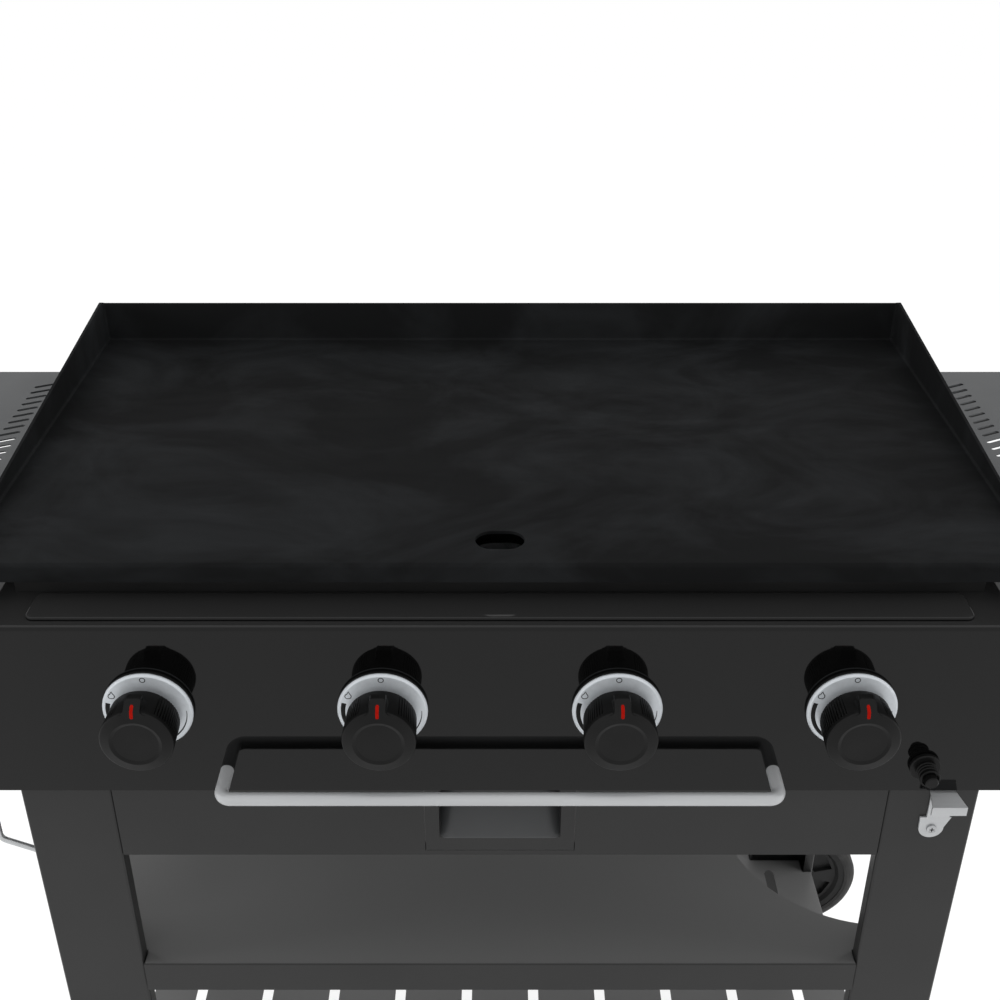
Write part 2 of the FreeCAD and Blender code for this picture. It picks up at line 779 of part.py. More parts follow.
def flute_star(name):
    """A prism about the Y axis that trims a knob's barrel into grip ribs, but not beside the pointer."""
    count = int(d.knob_flutes.value)
    ridge = d.knob_radius.value + 0.4
    valley = ridge - 0.4 - d.flute_depth.value
    smooth = d.smooth_sector.value
    front = -d.knob_reach.value - 1
    length = d.knob_reach.value - d.knob_back.value + 2
    points = []
    for step in range(count):
        for share, radius in ((0, ridge), (0.42, ridge), (0.58, valley), (0.84, valley)):
            turn = 360 * (step + share) / count
            if min(turn, 360 - turn) < smooth:
                radius = ridge
            angle = math.radians(turn)
            points.append(V(radius * math.sin(angle), front, radius * math.cos(angle)))
    face = Part.Face(Part.makePolygon(points + points[:1]))
    star = doc.addObject("Part::Feature", name)
    star.Shape = face.extrude(V(0, length, 0))
    return star


def make_knobs():
    """Hollow knobs with a fluted barrel, a dished face, a pointer with a sloped front and a D bore."""
    face, back = -d.knob_reach, -d.knob_back
    barrel = d.knob_radius
    rim = face + d.knob_slope
    skin = 4.5
    floor = face + 6
    band = rim + 4.5
    profile = [
        (face + 1.2, 0),
        (face + 1.2, d.knob_dish - 3),
        (face, d.knob_dish),
        (rim, barrel - 3),
        (band - 0.5, barrel - 3),
        (band - 0.5, barrel),
        (back, barrel - 1.2),
        (back, barrel - skin),
        (floor, barrel - skin),
        (floor, 9),
        (back, 9),
        (back, 0),
    ]
    turned = lathe("knob_turned", "y", profile)
    ribbed = common("knob_ribbed", turned, flute_star("knob_star"))
    smooth = [(face, d.knob_dish), (rim, barrel), (band, barrel), (band, barrel - 4), (floor, d.knob_dish)]
    disc = lathe("knob_disc", "y", smooth)
    fillet(disc, "knob_disc_rim", 2.2, round_edges(disc, rim, barrel))
    half = d.pointer_width / 2
    top = d.pointer_radius
    crest = face + d.pointer_ramp
    profile = [
        (face + 0.4, d.knob_dish + 0.5),
        (rim - 0.2, barrel + 0.4),
        (crest, top),
        (crest + d.pointer_top, top),
        (crest + d.pointer_top + 2, barrel - 2),
        (floor, barrel - 3.5),
        (floor, d.knob_dish + 0.5),
    ]
    web = 4
    foot = barrel - 2.4
    edge = [(2, d.knob_dish + 0.5)]
    for step in range(5):
        turn = math.radians(90 * step / 4)
        edge.append((half + web * (1 - math.sin(turn)), foot + web * (1 - math.cos(turn))))
    edge += [(half, top - 2), (half - 0.6, top - 0.6), (half - 2, top)]
    front = [(-x, z) for x, z in edge] + edge[::-1]
    side = prism("knob_rib_side", "YZ", profile, -half - web - 1, half + web + 1)
    rib = common("knob_rib", side, prism("knob_rib_front", "XZ", front, face - 1, back))
    bore_end = face + d.knob_push * 3 - 0.5
    bore = rod("knob_bore", "y", d.stem_radius + d.running_fit, bore_end, back + 1, 0, 0)
    key = box("knob_key", (-6, 6), (bore_end - 1, back + 2), (d.stem_flat + d.running_fit, 8))
    solid = fuse("knob_solid", ribbed, disc, rib)
    knob = cut("knob_cut", solid, cut("knob_d_bore", bore, key))
    for index, x in enumerate(burner_x):
        instance(f"knob_at_{index}", knob, x, panel_y, knob_z, f"knob_{index + 1}")


def make_bezels():
    """Behind each knob, a black base on the panel and a bevelled ring on the base."""
    profile = [
        (0, 8),
        (0, d.bezel_radius),
        (-(d.bezel_base - 1), d.bezel_radius),
        (-d.bezel_base, d.bezel_radius - 1),
        (-d.bezel_base, 8),
    ]
    base = lathe("bezel_base", "y", profile)
    front = -(d.bezel_base + d.bezel_ring)
    outside = d.bezel_radius - 0.3
    profile = [
        (-d.bezel_base, outside - 0.6),
        (-d.bezel_base, d.bezel_bore),
        (front + 0.5, d.bezel_bore),
        (front, d.bezel_bore + 0.5),
        (front, outside - 1.8),
        (front + 0.6, outside - 1),
        (front + 1.8, outside),
        (-(d.bezel_base + 0.4), outside),
    ]
    ring = lathe("bezel_ring_turned", "y", profile)
    bases = []
    for index, x in enumerate(burner_x):
        bases.append(instance(f"base_at_{index}", base, x, panel_y, knob_z))
        instance(f"ring_at_{index}", ring, x, panel_y, knob_z, f"bezel_ring_{index + 1}")
    keep(group("bezel_base_group", *bases), "bezel_bases")


bar_z = floor_z - d.bar_drop
igniter_z = floor_z - d.igniter_drop
screw_radius = 2.5
igniter_hole = 8.5


def make_panel():
    """The folded control panel: face, top with a raised field, ends, bottom hem, rear flange."""
    rear = fire_front - d.seat_gap
    body = new_body("panel_body")
    pad(
        body, "panel_block", "YZ", -half_panel, half_panel,
        rectangle((panel_y, rear), (panel_bottom, panel_top)),
    )
    fillet(body, "panel_top_bend", d.panel_bend, straight_edges(body, "x", y=panel_y, z=panel_top))
    ends = straight_edges(body, "z", x=half_panel, y=panel_y)
    ends += straight_edges(body, "z", x=-half_panel, y=panel_y)
    fillet(body, "panel_end_bends", 2, ends)
    inside = half_panel - d.sheet
    pocket(
        body, "panel_hollow", "YZ", -inside, inside,
        rectangle((panel_y + d.sheet, rear + 1), (panel_bottom + d.sheet, panel_top - d.sheet)),
    )
    hem = leg_y - d.seat_gap
    pocket(
        body, "panel_below", "YZ", -inside, inside,
        rectangle((hem, rear + 1), (panel_bottom - 1, panel_bottom + d.sheet + 1)),
    )
    bend = d.panel_bend - d.sheet
    fillet(
        body, "panel_inner_bend", bend,
        straight_edges(body, "x", y=panel_y + d.sheet, z=panel_top - d.sheet),
    )
    flange_x = half_fire - 1
    pad(
        body, "panel_flange", "YZ", -flange_x, flange_x,
        rectangle((rear - d.sheet, rear), (panel_top - 15, panel_top - d.sheet / 2)),
    )
    ear_x = half_fire + d.seat_gap * 2
    for sign in (-1, 1):
        span = (ear_x, half_panel) if sign > 0 else (-half_panel, -ear_x)
        pad(
            body, f"panel_ear_{'right' if sign > 0 else 'left'}", "XY", panel_top - d.sheet, panel_top,
            rectangle(span, (rear - d.sheet, rear + d.panel_ear)),
        )
    field_x = half_panel - d.raised_inset
    field_y = (panel_y + 10, rear - 6)
    top = panel_top + d.raised_height
    pad(body, "raised_field", "XY", panel_top - d.sheet / 2, top, rectangle((-field_x, field_x), field_y))
    corners = []
    for sign in (-1, 1):
        for y in field_y:
            corners += straight_edges(body, "z", x=field_x * sign, y=y)
    fillet(body, "raised_corners", 8, corners)
    fillet(body, "raised_rim", 1.8, level_edges(body, top))

    def draw_holes(sketch):
        for x in burner_x:
            draw_circle(sketch, x, knob_z, 7)
        draw_circle(sketch, igniter_x, igniter_z, igniter_hole)
        for sign in (-1, 1):
            draw_circle(sketch, d.bar_reach * sign, bar_z, screw_radius + d.seat_gap)

    pocket(body, "panel_holes", "XZ", panel_y - 1, panel_y + 4, draw_holes)
    keep(body, "control_panel")


def bent_rod(name, corners, radius, bend):
    """A round rod along a path whose corners are all bent to one radius."""
    path = []
    start = corners[0]
    for before, corner, after in zip(corners, corners[1:], corners[2:]):
        into = (before - corner).normalize()
        out = (after - corner).normalize()
        half_turn = into.getAngle(out) / 2
        trim = bend / math.tan(half_turn)
        enter, leave = corner + into * trim, corner + out * trim
        middle = corner + (into + out).normalize() * (bend / math.sin(half_turn) - bend)
        path.append(Part.LineSegment(start, enter).toShape())
        path.append(Part.Arc(enter, middle, leave).toShape())
        start = leave
    path.append(Part.LineSegment(start, corners[-1]).toShape())
    section = Part.Wire(Part.Circle(corners[0], corners[1] - corners[0], radius).toShape())
    solid = doc.addObject("Part::Feature", name)
    solid.Shape = Part.Wire(path).makePipeShell([section], True, False)
    return solid


def make_towel_bar():
    """A bent tube across the panel. Its ends stand on the panel and take a screw each."""
    reach = d.bar_reach.value
    y, z = panel_y.value, bar_z.value
    front = y - d.bar_stand.value
    corners = [V(-reach, y, z), V(-reach, front, z), V(reach, front, z), V(reach, y, z)]
    bar = bent_rod("bar_rod", corners, d.bar_radius.value, d.bar_bend.value)
    holes = [
        rod(f"bar_hole_{sign}", "y", screw_radius, panel_y - 12, panel_y + 1, d.bar_reach * sign, bar_z)
        for sign in (-1, 1)
    ]
    keep(cut("bar_cut", bar, *holes), "towel_bar")


def make_igniter():
    """A push-button igniter: collar, ringed barrel and rim in front, body behind the panel."""
    rim = -d.igniter_body
    collar = 5.2
    bore = 6.2
    button_back = rim + 14
    threads = []
    for turn in range(3):
        start = -collar - 1.2 - turn * 3.3
        threads += [(start, 8.5), (start - 0.6, 9.3), (start - 1.6, 9.3), (start - 2.2, 8.5)]
    housing = [
        (0, igniter_hole - 0.2),
        (0, 13),
        (-1, 14),
        (1 - collar, 14),
        (-collar, 13),
        (-collar, 8.5),
        *threads,
        (rim + 2.4, 8.5),
        (rim + 2, 9.4),
        (rim + 0.8, 9.4),
        (rim, 8.8),
        (rim, 7.6),
        (rim + 3, 7.6),
        (rim + 3, bore),
        (button_back, bore),
        (button_back, 0),
        (30, 0),
        (30, 7),
        (8, igniter_hole - 0.2),
    ]
    keep(lathe("igniter_turned", "y", housing, igniter_x, panel_y, igniter_z), "igniter_housing")
    tip = rim - d.igniter_travel - 2
    button = [
        (tip, 0),
        (tip, 4.9),
        (tip + 1, 5.9),
        (button_back - d.igniter_travel - 0.5, 5.9),
        (button_back - d.igniter_travel - 0.5, 0),
    ]
    keep(lathe("button_turned", "y", button, igniter_x, panel_y, igniter_z), "igniter_button")


def make_electrodes():
    """A ceramic spark electrode beside each burner, held in the firebox's front wall."""
    profile = [
        (-10, 0),
        (-10, electrode_radius),
        (-3.5, electrode_radius),
        (-3.5, electrode_radius + 2.5),
        (-d.seat_gap, electrode_radius + 2.5),
        (-d.seat_gap, electrode_radius),
        (40, electrode_radius),
        (42, 1.2),
        (60, 1.2),
        (60, 0),
    ]
    electrode = lathe("electrode_turned", "y", profile)
    pieces = [
        instance(f"electrode_{index}", electrode, x + electrode_shift, fire_front, knob_z + electrode_lift)
        for index, x in enumerate(burner_x)
    ]
    keep(group("electrode_group", *pieces), "ignition_electrodes")


bolt_heights = (
    d.apron_bottom + 19,
    d.apron_bottom - 10,
    d.shelf_height - d.shelf_drop / 2,
    d.rack_height - d.rack_drop / 2,
)
bolt_radius = 3
opener_screw_x = opener_x - 4
opener_screw_z = d.apron_bottom + 36
axle_z = d.wheel_radius


def leg_bolt_y(rear):
    """Where the bolts of the front or rear legs stand on the outer flange."""
    middle = d.leg_depth * 0.42
    return rear_y - middle if rear else leg_y + middle


def make_leg(name, side, rear):
    """A folded channel: face, short inner flange, deep outer flange with a lip."""
    back = -1 if rear else 1
    face = rear_y if rear else leg_y
    inner, outer = leg_inner * side, leg_outer * side
    steel_x, steel_y = d.sheet * side, d.sheet * back
    deep = face + d.leg_depth * back
    section = [
        (inner, face),
        (outer, face),
        (outer, deep),
        (outer - d.leg_lip * side, deep),
        (outer - d.leg_lip * side, deep - steel_y),
        (outer - steel_x, deep - steel_y),
        (outer - steel_x, face + steel_y),
        (inner + steel_x, face + steel_y),
        (inner + steel_x, face + d.leg_flange * back),
        (inner, face + d.leg_flange * back),
    ]
    low = d.wheel_side_leg if side > 0 else d.foot_height
    body = new_body(name + "_body")
    pad(body, name + "_section", "XY", low, d.leg_top, outline(section))
    folds = straight_edges(body, "z", x=inner, y=face) + straight_edges(body, "z", x=outer, y=face)
    folds += straight_edges(body, "z", x=outer, y=deep)
    fillet(body, name + "_folds", 2.5, folds)
    low_x, high_x = (outer - 4, outer + 1) if side > 0 else (outer - 1, outer + 4)

    def draw_bolts(sketch):
        for height in bolt_heights:
            draw_circle(sketch, leg_bolt_y(rear), height, bolt_radius + d.seat_gap)
        if side < 0:
            wire_y = leg_y + wire_inset if not rear else rear_y - wire_inset
            draw_circle(sketch, wire_y, d.wire_bottom, d.wire_radius + d.seat_gap)

    pocket(body, name + "_bolt_holes", "YZ", low_x, high_x, draw_bolts)
    if side > 0:
        low_y, high_y = (deep - 1, face + 1) if rear else (face - 1, deep + 1)
        axle_hole = d.axle_radius + d.seat_gap
        pocket(
            body, name + "_axle_hole", "XZ", low_y, high_y,
            lambda sketch: draw_circle(sketch, wheel_x, axle_z, axle_hole),
        )
        if not rear:
            pocket(
                body, name + "_screw_hole", "XZ", face - 1, face + 4,
                lambda sketch: draw_circle(
                    sketch, opener_screw_x, opener_screw_z, screw_radius + d.seat_gap
                ),
            )
    keep(body, name)


def make_feet():
    """Two plastic feet, each with a plug inside its leg and a pad on the ground."""
    feet = []
    middle = (leg_inner + leg_outer) / -2
    for name, face, back in (("front", leg_y, 1), ("rear", rear_y, -1)):
        near_y, far_y = face - 3 * back, face + (d.leg_depth + 3) * back
        y = (near_y, far_y) if back > 0 else (far_y, near_y)
        foot = new_body(f"foot_{name}")
        x = (-(leg_outer + 3), -(leg_inner - 3))
        pad(foot, f"foot_{name}_pad", "XY", 0, d.foot_height, rectangle(x, y))
        fillet(foot, f"foot_{name}_corners", 5, upright_edges(foot))
        plug_y = face + (d.leg_depth / 2) * back
        half_x, half_y = 36, d.leg_depth / 2 - d.sheet - 1
        plug = rectangle((middle - half_x, middle + half_x), (plug_y - half_y, plug_y + half_y))
        pad(foot, f"foot_{name}_plug", "XY", d.foot_height - 1, d.foot_height + 20, plug)
        feet.append(foot)
    keep(group("foot_group", *feet), "leg_feet")


front_wheel_y = leg_y - d.wheel_gap - d.wheel_width
rear_wheel_y = rear_y + d.wheel_gap


def make_wheels():
    """A ribbed tyre on a hub with spokes and a closed web at each end of the axle, outside the legs."""
    for name, y in (("front", front_wheel_y), ("rear", rear_wheel_y)):
        outer, seat, width = d.wheel_radius, d.rim_radius, d.wheel_width
        tyre = [
            (2, seat),
            (0, seat + 4),
            (0, outer - 7),
            (2, outer - 2.5),
            (6, outer),
            (width / 2 - 5, outer),
            (width / 2 - 4, outer - 2.5),
            (width / 2 - 2.5, outer - 2.5),
            (width / 2 - 1.5, outer),
            (width / 2 + 1.5, outer),
            (width / 2 + 2.5, outer - 2.5),
            (width / 2 + 4, outer - 2.5),
            (width / 2 + 5, outer),
            (width - 6, outer),
            (width - 2, outer - 2.5),
            (width, outer - 7),
            (width, seat + 4),
            (width - 2, seat),
        ]
        keep(lathe(f"tyre_{name}_turned", "y", tyre, wheel_x, y, axle_z), f"tyre_{name}")
        bore = d.axle_radius + d.running_fit
        rim = seat - 0.1
        hub = [
            (0, bore),
            (0, 17),
            (4, 17),
            (9, 24),
            (9, rim - 12),
            (4, rim - 8),
            (3, rim),
            (width - 3, rim),
            (width - 4, rim - 8),
            (width - 9, rim - 12),
            (width - 9, 24),
            (width - 4, 17),
            (width, 17),
            (width, bore),
        ]
        wheel = lathe(f"hub_{name}_turned", "y", hub, wheel_x, y, axle_z)

        def draw_windows(sketch):
            inside, outside = 30, float(rim) - 16
            for spoke in range(5):
                turns = [math.radians(72 * spoke + 18 + step) for step in (13, 36, 59)]
                points = [(inside * math.sin(turns[0]) * 1.05, inside * math.cos(turns[0]) * 1.05)]
                points.append((inside * math.sin(turns[2]) * 1.05, inside * math.cos(turns[2]) * 1.05))
                points += [(outside * math.sin(turn), outside * math.cos(turn)) for turn in reversed(turns)]
                draw_outline(sketch, points)

        web = 4
        pocket(wheel, f"hub_{name}_front_windows", "XZ", -1, (width - web) / 2, draw_windows)
        pocket(wheel, f"hub_{name}_rear_windows", "XZ", (width + web) / 2, width + 1, draw_windows)
        keep(wheel, f"wheel_hub_{name}")


def make_axle():
    """The wheel axle through the legs, with a cap nut outside each wheel."""
    front_end = front_wheel_y - 6
    rear_end = rear_wheel_y + d.wheel_width + 6
    keep(rod("axle_rod", "y", d.axle_radius, front_end, rear_end, wheel_x, axle_z), "wheel_axle")
    nuts = []
    for name, y, out in (("front", front_wheel_y, -1), ("rear", rear_wheel_y + d.wheel_width, 1)):
        height = d.nut_height
        profile = [
            (0.4 * out, d.axle_radius),
            (0.4 * out, 9),
            (height * 0.55 * out, 9),
            (height * 0.9 * out, 6.5),
            (height * out, 3),
            (height * out, 0),
            (6 * out, 0),
            (6 * out, d.axle_radius),
        ]
        nuts.append(lathe(f"nut_{name}", "y", profile, wheel_x, y, axle_z))
    keep(group("nut_group", *nuts), "axle_nuts")


def shelf_outline(front_y, back_y, gap):
    """The plan of a shelf fitted between the four legs, anticlockwise from the front left."""
    in_x = leg_inner - gap
    channel_x = leg_outer - d.leg_lip - gap * 4
    side_x = leg_outer - d.sheet - gap
    front_in, back_in = leg_y + d.leg_flange + gap, rear_y - d.leg_flange - gap
    front_lip, back_lip = leg_y + d.leg_depth + gap, rear_y - d.leg_depth - gap
    right = [
        (in_x, front_y),
        (in_x, front_in),
        (channel_x, front_in),
        (channel_x, front_lip),
        (side_x, front_lip),
        (side_x, back_lip),
        (channel_x, back_lip),
        (channel_x, back_in),
        (in_x, back_in),
        (in_x, back_y),
    ]
    left = [(-x, y) for x, y in reversed(right)]
    return right + left


def shelf_shell(name, plan, top, drop, kept=None):
    """A shelf's block, and the space under its top and inside its flange, less what is kept."""
    outer = new_body(name + "_outer")
    pad(outer, name + "_block", "XY", top - drop, top, outline(plan))
    fillet(outer, name + "_top_bend", 2, level_edges(outer, top))
    inner = new_body(name + "_inner")
    pad(inner, name + "_space", "XY", top - drop - 1, top - d.sheet, outline(inset(plan, d.sheet)))
    space = inner if kept is None else cut(name + "_kept", inner, kept)
    return outer, space


def make_middle_shelf():
    """The middle shelf, with a round recess in its right side for a gas tank."""
    top, drop = d.shelf_height, d.shelf_drop
    plan = shelf_outline(leg_y - d.shelf_advance, rear_y, d.seat_gap)
    low, high = top - drop - 2, top + 1
    wall = rod("recess_wall", "z", d.tank_radius + d.sheet, low, high, tank_x, -d.tank_shift)
    outer, space = shelf_shell("middle", plan, top, drop, wall)
    recess = rod("recess", "z", d.tank_radius, low, high, tank_x, -d.tank_shift)
    keep(cut("middle_cut", outer, space, recess), "middle_shelf")


def make_bottom_shelf():
    """The bottom shelf, with long slots from front to back."""
    top, drop = d.rack_height, d.rack_drop
    plan = shelf_outline(leg_y + 1, rear_y - 1, d.seat_gap)
    outer, space = shelf_shell("bottom", plan, top, drop)
    slots = new_body("bottom_slots")
    length = d.cart_depth - 70 - d.slot_width
    middle = (leg_y + rear_y) / 2
    rows = (leg_outer.value - 15) * 2 / d.slot_pitch.value
    count = int(rows)
    first = pad(
        slots, "slot_pad", "XY", top - 6, top + 1,
        lambda sketch: draw_slot(sketch, d.slot_pitch * (1 - count) / 2, middle, length, d.slot_width, 90),
    )
    repeat(slots, "slot_row", first, "X", d.slot_pitch, count)
    keep(cut("bottom_cut", outer, space, slots), "bottom_shelf")


tray_front_z = (d.apron_bottom + 6.2, d.apron_bottom + 89.8)
tray_lip_z = d.apron_bottom + 72
tray_pan_x = 62


def make_front_apron():
    """The front panel between the legs, with an opening for the grease tray."""
    reach = leg_inner - d.seat_gap
    top = d.leg_top - 1
    outer = box("apron_outer", (-reach, reach), (leg_y, leg_y + 15), (d.apron_bottom, top))
    inner = box(
        "apron_inner",
        (-reach - 1, reach + 1),
        (leg_y + d.sheet, leg_y + 16),
        (d.apron_bottom + d.sheet, top - d.sheet),
    )
    gap = 0.8
    opening_x = d.tray_width / 2 + gap
    opening = box(
        "apron_opening",
        (-opening_x, opening_x),
        (leg_y - 1, leg_y + 10),
        (tray_front_z[0] - gap, tray_front_z[1] + gap),
    )
    keep(cut("apron_cut", outer, inner, opening), "front_apron")


def make_rear_crossmember():
    """The channel between the rear legs."""
    reach = leg_inner - d.seat_gap
    top = d.leg_top - 1
    outer = box("cross_outer", (-reach, reach), (rear_y - 15, rear_y), (d.apron_bottom, top))
    inner = box(
        "cross_inner",
        (-reach - 1, reach + 1),
        (rear_y - 16, rear_y - d.sheet),
        (d.apron_bottom + d.sheet, top - d.sheet),
    )
    keep(cut("cross_cut", outer, inner), "rear_crossmember")


def make_top_rails():
    """A channel along each side on top of the legs, which carries the firebox."""
    for name, side in (("left", -1), ("right", 1)):
        near_x, far_x = (leg_outer - 47) * side, (leg_outer - d.sheet) * side
        x = (near_x, far_x) if side > 0 else (far_x, near_x)
        y = (leg_y + 4, rear_y - 4)
        outer = box(f"rail_{name}_outer", x, y, (d.leg_top, fire_bottom))
        open_x = (x[0] - 1, x[1] - d.sheet) if side > 0 else (x[0] + d.sheet, x[1] + 1)
        inner = box(
            f"rail_{name}_inner", open_x, (y[0] - 1, y[1] + 1), (d.leg_top + d.sheet, fire_bottom - d.sheet)
        )
        keep(cut(f"rail_{name}_cut", outer, inner), f"top_rail_{name}")


pan_front = leg_y + 31
pan_back = leg_y + d.tray_depth


def make_grease_tray():
    """A pan on side lips with a front plate that has a finger recess."""
    half = d.tray_width / 2
    low, high = tray_front_z
    plate = box("tray_plate", (-half, half), (leg_y, leg_y + d.sheet), (low, high))
    pull = d.tray_pull / 2
    pull_low = d.apron_bottom + 21
    pull_high = pull_low + d.pull_height
    slope_top = pull_low + d.pull_slope
    recess_side = [
        (leg_y, pull_low - d.sheet * 2),
        (pan_front, slope_top - d.sheet * 2),
        (pan_front, pull_high + d.sheet),
        (leg_y, pull_high + d.sheet),
    ]
    recess = prism("tray_recess", "YZ", recess_side, -pull - d.sheet, pull + d.sheet)
    pan_y = (pan_front - d.sheet, pan_back)
    pan = box("tray_pan", (-tray_pan_x, tray_pan_x), pan_y, (tray_lip_z - 40 - d.sheet, tray_lip_z))
    lips = [
        box(f"tray_lip_{i}", x, (pan_front, pan_back), (tray_lip_z - d.sheet, tray_lip_z))
        for i, x in enumerate(((-half + 1, -tray_pan_x + 1), (tray_pan_x - 1, half - 1)))
    ]
    hand = new_body("tray_hand_space")
    pad(
        hand, "hand_block", "YZ", -pull, pull,
        outline([
            (leg_y - 1, pull_low),
            (pan_front - d.sheet, slope_top),
            (pan_front - d.sheet, pull_high),
            (leg_y - 1, pull_high),
        ]),
    )
    corners = straight_edges(hand, "y", x=pull, z=pull_high) + straight_edges(hand, "y", x=-pull, z=pull_high)
    fillet(hand, "hand_corners", 5, corners)
    well = box(
        "tray_well",
        (-tray_pan_x + d.sheet, tray_pan_x - d.sheet),
        (pan_front, pan_back - d.sheet),
        (tray_lip_z - 40, tray_lip_z + 1),
    )
    solid = fuse("tray_solid", plate, recess, pan, *lips)
    keep(cut("tray_cut", solid, hand, well), "grease_tray")


def make_tray_runners():
    """Two hangers under the firebox whose ledges carry the tray's lips."""
    ledge = tray_lip_z - d.sheet - d.seat_gap
    hanger = d.tray_width / 2 + 7
    runners = []
    for index, side in enumerate((-1, 1)):
        section = [
            (tray_pan_x + 1.5, ledge - d.sheet),
            (hanger + d.sheet, ledge - d.sheet),
            (hanger + d.sheet, fire_bottom - d.sheet),
            (hanger + 16, fire_bottom - d.sheet),
            (hanger + 16, fire_bottom),
            (hanger, fire_bottom),
            (hanger, ledge),
            (tray_pan_x + 1.5, ledge),
        ]
        points = [(x * side, z) for x, z in section]
        runners.append(prism(f"runner_{index}", "XZ", points, leg_y + 18, pan_back + 2))
    keep(group("runner_group", *runners), "tray_runners")


def make_chute():
    """An oval sleeve from under the griddle's drain, through the firebox floor, to the tray."""
    body = new_body("chute_body")
    flange_z = fire_bottom + d.sheet
    straight = d.drain_length - d.drain_width
    low, high = tray_lip_z + 4, fire_top - 5
    pad(
        body, "chute_sleeve", "XY", low, high,
        lambda sketch: draw_slot(sketch, 0, drain_y, straight, chute_width),
    )
    flange_x = chute_length / 2 + 10
    flange_y = (fire_front + d.sheet + d.seat_gap, drain_y + chute_width / 2 + 10)
    pad(body, "chute_flange", "XY", flange_z, flange_z + d.sheet, rectangle((-flange_x, flange_x), flange_y))
    inside = chute_width - chute_wall * 2
    pocket(
        body, "chute_bore", "XY", low - 1, high + 1,
        lambda sketch: draw_slot(sketch, 0, drain_y, straight, inside),
    )
    keep(body, "grease_chute")


side_inner = half_griddle + d.side_gap
side_outer = side_inner + d.side_width
half_side = d.side_depth / 2


def make_side_shelves():
    """Side shelves pressed from sheet, with a row of slanted vent slots beside the griddle."""
    x, y = (side_inner, side_outer), (-half_side, half_side)
    top = d.side_height
    low = top - d.side_drop
    body = new_body("side_shelf_body")
    pad(body, "side_block", "XY", low, top, rectangle(x, y))
    fillet(body, "side_corners", d.side_corner, upright_edges(body))
    fillet(body, "side_top_bend", 3, level_edges(body, top))
    hollow = new_body("side_hollow")
    inner_x = (x[0] + d.sheet, x[1] - d.sheet)
    inner_y = (y[0] + d.sheet, y[1] - d.sheet)
    pad(hollow, "side_space", "XY", low - 1, top - d.sheet, rectangle(inner_x, inner_y))
    fillet(hollow, "side_space_corners", d.side_corner - d.sheet, upright_edges(hollow))
    vents = new_body("side_vents")
    count = int((d.side_depth.value - 80) // d.vent_pitch.value) + 1
    vent_x, first_y = side_inner + d.vent_reach, d.vent_pitch * (1 - count) / 2
    first = pad(
        vents, "vent_pad", "XY", top - 4, top + 1,
        lambda sketch: draw_slot(sketch, vent_x, first_y, d.vent_length, d.vent_width, 26),
    )
    repeat(vents, "vent_row", first, "Y", d.vent_pitch, count)
    shelf = cut("side_shelf_cut", body, hollow, vents)
    instance("side_shelf_at_right", shelf, label="side_shelf_right")
    left = instance("side_shelf_at_left", shelf, label="side_shelf_left")
    left.Placement.Rotation = FreeCAD.Rotation(V(0, 0, 1), 180)


def make_shelf_brackets():
    """Four plates on the firebox's sides that reach under the side shelves."""
    top = d.side_height - d.sheet - d.seat_gap
    under_rim = d.side_height - d.side_drop - d.seat_gap
    start = half_fire + d.seat_gap / 2
    inside = side_inner + d.sheet + 2
    end = side_outer - 34
    plates = []
    places = [(side, y) for side in (-1, 1) for y in (fire_front + 40, fire_back - 84)]
    for index, (side, y) in enumerate(places):
        profile = [
            (start, under_rim - 50),
            (inside, under_rim - 30),
            (end, top - 24),
            (end, top),
            (inside, top),
            (inside, under_rim),
            (start, under_rim),
        ]
        points = [(x * side, z) for x, z in profile]
        plates.append(prism(f"bracket_{index}", "XZ", points, y - 1.5, y + 1.5))
    keep(group("bracket_group", *plates), "shelf_brackets")


def make_bottle_opener():
    """A bent steel opener on the right front leg: screw tab, web, prying plate with a lip."""
    steel = d.opener_steel
    x = opener_x
    back = (leg_y - steel, leg_y)
    plate_z = d.apron_bottom + 81
    tab = prism(
        "opener_tab",
        "XZ",
        [
            (x - 16, opener_screw_z + 13),
            (x - 15.5, opener_screw_z),
            (x + 7.2, opener_screw_z),
            (x + 13, opener_screw_z + 13),
        ],
        back[0],
        back[1],
    )
    end = rod("opener_end", "y", 11.6, back[0], back[1], opener_screw_x, opener_screw_z)
    web = box("opener_web", (x - 10, x + 11), back, (opener_screw_z + 12, plate_z))
    front = leg_y - d.opener_depth
    plate = prism(
        "opener_plate",
        "XY",
        [(x - 11.3, leg_y), (x - 16, front), (x + 16, front), (x + 11.3, leg_y)],
        plate_z - steel,
        plate_z,
    )
    lip = box("opener_lip", (x - 16, x + 16), (front, front + steel), (plate_z - 9.5, plate_z))
    around = screw_radius + d.seat_gap
    hole = rod("opener_hole", "y", around, back[0] - 1, back[1] + 1, opener_screw_x, opener_screw_z)
    solid = fuse("opener_solid", tab, end, web, plate, lip)
    keep(cut("opener_cut", solid, hole), "bottle_opener")


wire_inset = 24


def make_side_rail():
    """A bent wire rail on the left legs: out of the front leg, up, back along, down, into the rear leg."""
    wall = -leg_outer.value + d.sheet.value
    out = -(leg_outer.value + d.wire_stand.value)
    low = d.wire_bottom.value
    turn_z, high = low + 15, low + d.wire_rise.value
    front, rear = leg_y.value + wire_inset, rear_y.value - wire_inset
    corners = [
        V(wall, front, low),
        V(wall - 9, front, low),
        V(out, front, turn_z),
        V(out, front, high),
        V(out, rear, high),
        V(out, rear, turn_z),
        V(wall - 9, rear, low),
        V(wall, rear, low),
    ]
    keep(bent_rod("wire_rod", corners, d.wire_radius.value, 9), "side_wire_rail")


